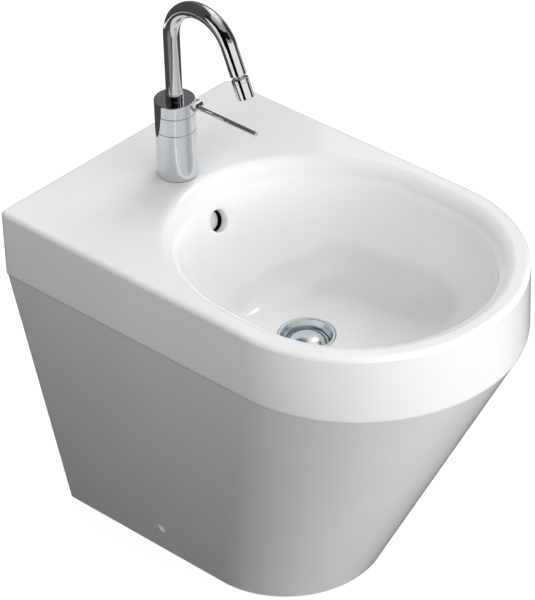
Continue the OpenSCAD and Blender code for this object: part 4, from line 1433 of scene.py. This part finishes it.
@dataclass
class Fixings(Assembly):
    """The caps over the screws that hold the body down, and the tap's threaded stud under the deck."""

    screw_y: float = 112
    screw_z: float = 35.5
    cap_r: float = 7.4
    cap_rise: float = 3.2
    cap_edge: float = 0.3
    stub_r: float = 1.45
    stub_len: float = 1.8
    stud_y: float = 163.5
    stud_low: float = 365
    stud_high: float = 443
    stud_r: float = 4
    stud_pitch: float = 1.25
    stud_bare: float = 1.5
    stud_round: float = 0.6
    thread_h: float = 0.65

    def build(self) -> None:
        """Makes the two screw caps and the stud."""
        for side, node in ((-1, "screw_cap_left"), (1, "screw_cap_right")):
            inner_x = min(abs(corner[0]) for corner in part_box(node)) / MM
            foot = -self.stub_len
            outline = Outline().to(0, foot).to(self.stub_r, foot, FINE_EDGE).to(self.stub_r, 0)
            outline.to(self.cap_r, 0).dome(self.cap_r, self.cap_edge, self.cap_rise, power=2, steps=12)
            place = at(0, self.screw_y, self.screw_z) @ turned(90 * side, "Y") @ at(0, 0, inner_x - foot)
            self.put(node, lathe(outline, steps=64), place)
        root_r, bare = self.stud_r - self.thread_h, self.stud_bare
        core = rod(root_r, self.stud_low, self.stud_high, self.stud_round, steps=40)
        wind = thread(root_r, self.stud_r, self.stud_low + bare, self.stud_high - bare, self.stud_pitch,
                      steps=32)
        place = at(0, self.stud_y, 0)
        self.put("tap_stud", core, place, [Tool(wind, place, Carve.ADD)])


def dress_kept_nodes() -> None:
    """Gives every CAD node that still shows the finish of its slot."""
    for node, piece in frame["nodes"].items():
        finish = Slot[SLOT_OF_NODE[node]].value
        piece.data.materials.clear()
        piece.data.materials.append(finish.material())
        LOG.info("%s: %s", node, finish.name)


# ---------------------------------------------------------------- studio


@dataclass(frozen=True)
class Softbox:
    """A square-cornered lamp that looks at a point, with its power in watts.

    It lights what is dull. Gloss mirrors it only if in_gloss is set.
    """

    name: str
    spot: Point3
    width: float
    height: float
    power: float
    target: Point3 = (0.0, 0.0, 0.45)
    in_gloss: bool = False

    def hang(self) -> None:
        """Puts the lamp into the scene, out of the camera's sight."""
        light = bpy.data.lights.new(self.name, "AREA")
        light.shape, light.energy = "RECTANGLE", self.power
        light.size, light.size_y = self.width, self.height
        lamp = bpy.data.objects.new(self.name, light)
        lamp.location = self.spot
        lamp.rotation_euler = (Vector(self.spot) - Vector(self.target)).to_track_quat("Z", "Y").to_euler()
        lamp.visible_camera = False
        lamp.visible_glossy = self.in_gloss
        bpy.context.scene.collection.objects.link(lamp)


@dataclass(frozen=True)
class Card:
    """A curved card round the set, as a photographer's flag: only gloss sees it, in its own shade.

    Its edge runs from one point to another, each given by its distance from the centre and its height in
    metres, and is swept between two azimuths in degrees, counted from +X.
    """

    name: str
    shade: str
    first: float
    last: float
    start: Point
    end: Point
    centre: Point = (0.0, 0.12)
    steps: int = 24

    def stand(self) -> None:
        """Stands the card up, from the first to the last azimuth."""
        mesh = bmesh.new()
        ends, edges = wire(mesh, [(reach, 0, height) for reach, height in (self.start, self.end)], False)
        first = Matrix.Rotation(math.radians(self.first), 3, "Z")
        bmesh.ops.rotate(mesh, cent=ORIGIN, matrix=first, verts=ends)
        sweep(mesh, ends + edges, math.radians(self.last - self.first), self.steps)
        bmesh.ops.translate(mesh, vec=(*self.centre, 0), verts=mesh.verts)
        card = as_object(mesh, self.name)
        paint = bpy.data.materials.new(self.name)
        tree = empty_tree(paint)
        face = add_node(tree, "ShaderNodeEmission", {"Color": linear(self.shade)}).outputs[0]
        add_node(tree, "ShaderNodeOutputMaterial", {"Surface": face})
        card.data.materials.append(paint)
        card.visible_camera = card.visible_diffuse = card.visible_shadow = False
        card.visible_transmission = card.visible_volume_scatter = False


@dataclass
class Studio:
    """A plain pale floor, soft lamps, grey cards for the gloss and the camera.

    The room's glows are soft lights of the world, each with its direction and its strength.
    """

    eye: Point3 = (-2.253, -2.095, 2.469)
    azimuth: float = -46.54
    elevation: float = 34.72
    tilt: float = -1.88
    lens: float = 209.0
    sensor: float = 36.0
    shift_x: float = -0.0061
    view_end: float = 50.0
    lamps: tuple[Softbox, ...] = (
        Softbox("front_softbox", (-0.1, -2.2, 1.05), 3.0, 1.5, 17.3),
        Softbox("low_front_softbox", (-0.1, -2.2, 0.4), 3.0, 0.8, 25.4),
        Softbox("right_softbox", (1.65, 0.62, 2.2), 1.5, 1.5, 23.0),
        Softbox("high_right_softbox", (1.4, -1.5, 2.4), 1.2, 1.2, 3.9),
        Softbox("back_softbox", (0.0, 2.2, 2.0), 1.5, 1.5, 6.0),
        Softbox("low_back_softbox", (0.3, 2.4, 0.5), 1.6, 0.8, 16.0, (0.0, 0.0, 0.3)),
        Softbox("near_left_softbox", (-1.0, 0.2, 0.9), 0.6, 0.6, 2.1),
        Softbox("near_top_softbox", (-0.7, -0.1, 1.3), 0.5, 0.5, 2.9),
        Softbox("window", (1.65, 0.62, 2.2), 0.35, 0.35, 2.5, (0.0, 0.1, 0.45), in_gloss=True),
    )
    glows: tuple[tuple[Point3, float], ...] = (
        ((0.0, -0.978, 0.208), 1.61),
        ((0.643, 0.0, 0.766), 0.61),
    )
    glow_focus: float = 4.0
    cards: tuple[Card, ...] = (
        Card("dark_room", "#030303", -178, -130, (1.5, 0.33), (1.5, 2.0)),
        Card("right_drape", "#4a4a4a", -57, -4, (1.5, 0.35), (1.5, 2.1)),
        Card("low_right_drape", "#747474", -4, 38, (1.5, 0.0), (1.5, 1.26)),
        Card("right_back_drape", "#707070", 38, 60, (1.5, 0.0), (1.5, 3.1)),
        Card("back_drape", "#4c4c4c", 60, 159, (1.5, 0.0), (1.5, 3.1)),
        Card("left_high_drape", "#323232", 159, 183, (1.5, 1.12), (1.5, 3.1)),
        Card("dark_valance", "#181818", -134, -62, (1.5, 1.34), (1.5, 2.05)),
        Card("valance_fringe", "#9a9a9a", -130, -57, (1.5, 1.1), (1.5, 1.34)),
        Card("left_wall", "#6c6c6c", -177, -150, (1.5, 2.0), (1.5, 3.1)),
        Card("front_wall", "#a8a8a8", -150, -60, (1.5, 2.05), (1.5, 3.1)),
        Card("right_wall", "#bcbcbc", -60, -30, (1.5, 2.1), (1.5, 3.1)),
        Card("dark_ceiling", "#525252", 36, 184, (1.5, 3.1), (0.01, 3.1)),
        Card("grey_ceiling", "#c4c4c4", -176, -60, (1.5, 3.1), (0.01, 3.1)),
        Card("floor_card", "#4c4c4c", -180, 180, (0.01, 0.002), (1.3, 0.002)),
        Card("left_floor_card", "#858585", 165, 215, (0.7, 0.004), (1.3, 0.004)),
    )
    floor_r: float = 3.0
    floor_glow: float = 0.86
    floor_shade: str = "#8c8c8c"
    floor_dull_shade: str = "#2c2c2c"
    room_colour: str = "#ffffff"

    def background(self, tree: Tree) -> Socket:
        """Tells the rays that show the background: those of the camera, of gloss and of glass.

        Args:
            tree: Tree that gets the nodes.

        Returns:
            The socket that gives 1 on such rays and 0 on the others.
        """
        rays = add_node(tree, "ShaderNodeLightPath").outputs
        seen = rays["Is Camera Ray"]
        for kind in ("Is Glossy Ray", "Is Transmission Ray"):
            seen = add_node(tree, "ShaderNodeMath", {0: seen, 1: rays[kind]}, operation="MAXIMUM").outputs[0]
        return seen

    def floor(self) -> None:
        """Lays the floor: white to the eye, with the object's shadow, and dull as a source of light."""
        mesh = bmesh.new()
        bmesh.ops.create_circle(mesh, cap_ends=True, segments=96, radius=self.floor_r)
        piece = as_object(mesh, "floor")
        paint = bpy.data.materials.new("painted_floor")
        tree = empty_tree(paint)
        glow = add_node(tree, "ShaderNodeEmission",
                        {"Color": linear(self.room_colour), "Strength": self.floor_glow}).outputs[0]
        matt, dull = (add_node(tree, "ShaderNodeBsdfDiffuse", {"Color": linear(shade)}).outputs[0]
                      for shade in (self.floor_shade, self.floor_dull_shade))
        shown = add_node(tree, "ShaderNodeAddShader", {0: glow, 1: matt}).outputs[0]
        mixed = add_node(tree, "ShaderNodeMixShader", {0: self.background(tree), 1: dull, 2: shown})
        add_node(tree, "ShaderNodeOutputMaterial", {"Surface": mixed.outputs[0]})
        piece.data.materials.append(paint)

    def world(self) -> None:
        """Makes the room: white to the eye, with soft light from the low front and from high on the right."""
        scene = bpy.context.scene
        scene.world = bpy.data.worlds.new("room")
        tree = empty_tree(scene.world)
        way = add_node(tree, "ShaderNodeTexCoord").outputs["Generated"]
        light = 0.0
        for aim, strength in self.glows:
            toward = add_node(tree, "ShaderNodeVectorMath", {0: way, 1: aim}, operation="DOT_PRODUCT")
            ahead = add_node(tree, "ShaderNodeMath", {0: toward.outputs["Value"], 1: 0.0},
                             operation="MAXIMUM").outputs[0]
            lobe = add_node(tree, "ShaderNodeMath", {0: ahead, 1: self.glow_focus},
                            operation="POWER").outputs[0]
            light = add_node(tree, "ShaderNodeMath", {0: lobe, 1: strength, 2: light},
                             operation="MULTIPLY_ADD").outputs[0]
        white = linear(self.room_colour)
        room, seen = (add_node(tree, "ShaderNodeBackground", {"Color": white, "Strength": level}).outputs[0]
                      for level in (light, 1.0))
        mixed = add_node(tree, "ShaderNodeMixShader", {0: self.background(tree), 1: room, 2: seen})
        add_node(tree, "ShaderNodeOutputWorld", {"Surface": mixed.outputs[0]})

    def camera(self) -> None:
        """Sets the camera where the photographer's stood."""
        turn, rise, lean = (math.radians(a) for a in (self.azimuth, self.elevation, self.tilt))
        back = Vector((math.sin(turn) * math.cos(rise), -math.cos(turn) * math.cos(rise), math.sin(rise)))
        level = Vector((math.cos(turn), math.sin(turn), 0))
        rise_axis = back.cross(level)
        right = math.cos(lean) * level + math.sin(lean) * rise_axis
        up = math.cos(lean) * rise_axis - math.sin(lean) * level
        data = bpy.data.cameras.new("camera")
        data.lens, data.sensor_width, data.sensor_fit = self.lens, self.sensor, "AUTO"
        data.shift_x, data.clip_end = self.shift_x, self.view_end
        view = bpy.data.objects.new("camera", data)
        facing = Matrix((right, up, back)).transposed().to_4x4()
        view.matrix_world = Matrix.Translation(self.eye) @ facing
        bpy.context.scene.collection.objects.link(view)
        bpy.context.scene.camera = view

    def build(self) -> None:
        """Sets up the whole studio."""
        bpy.context.scene.view_settings.view_transform = "Standard"
        self.floor()
        self.world()
        for lamp in self.lamps:
            lamp.hang()
        for card in self.cards:
            card.stand()
        self.camera()


def main() -> None:
    """Builds the studio and the object, sub-assembly by sub-assembly."""
    logging.basicConfig(level=logging.INFO, format="%(message)s")
    Studio().build()
    dress_kept_nodes()
    spout = Spout()
    for assembly in (ChinaBody(), WasteFittings(), TapColumn(), SideLever(), spout, Aerator(spout.ball),
                     Fixings()):
        LOG.info("%s", type(assembly).__name__)
        assembly.build()


if __name__ == "__main__":
    main()
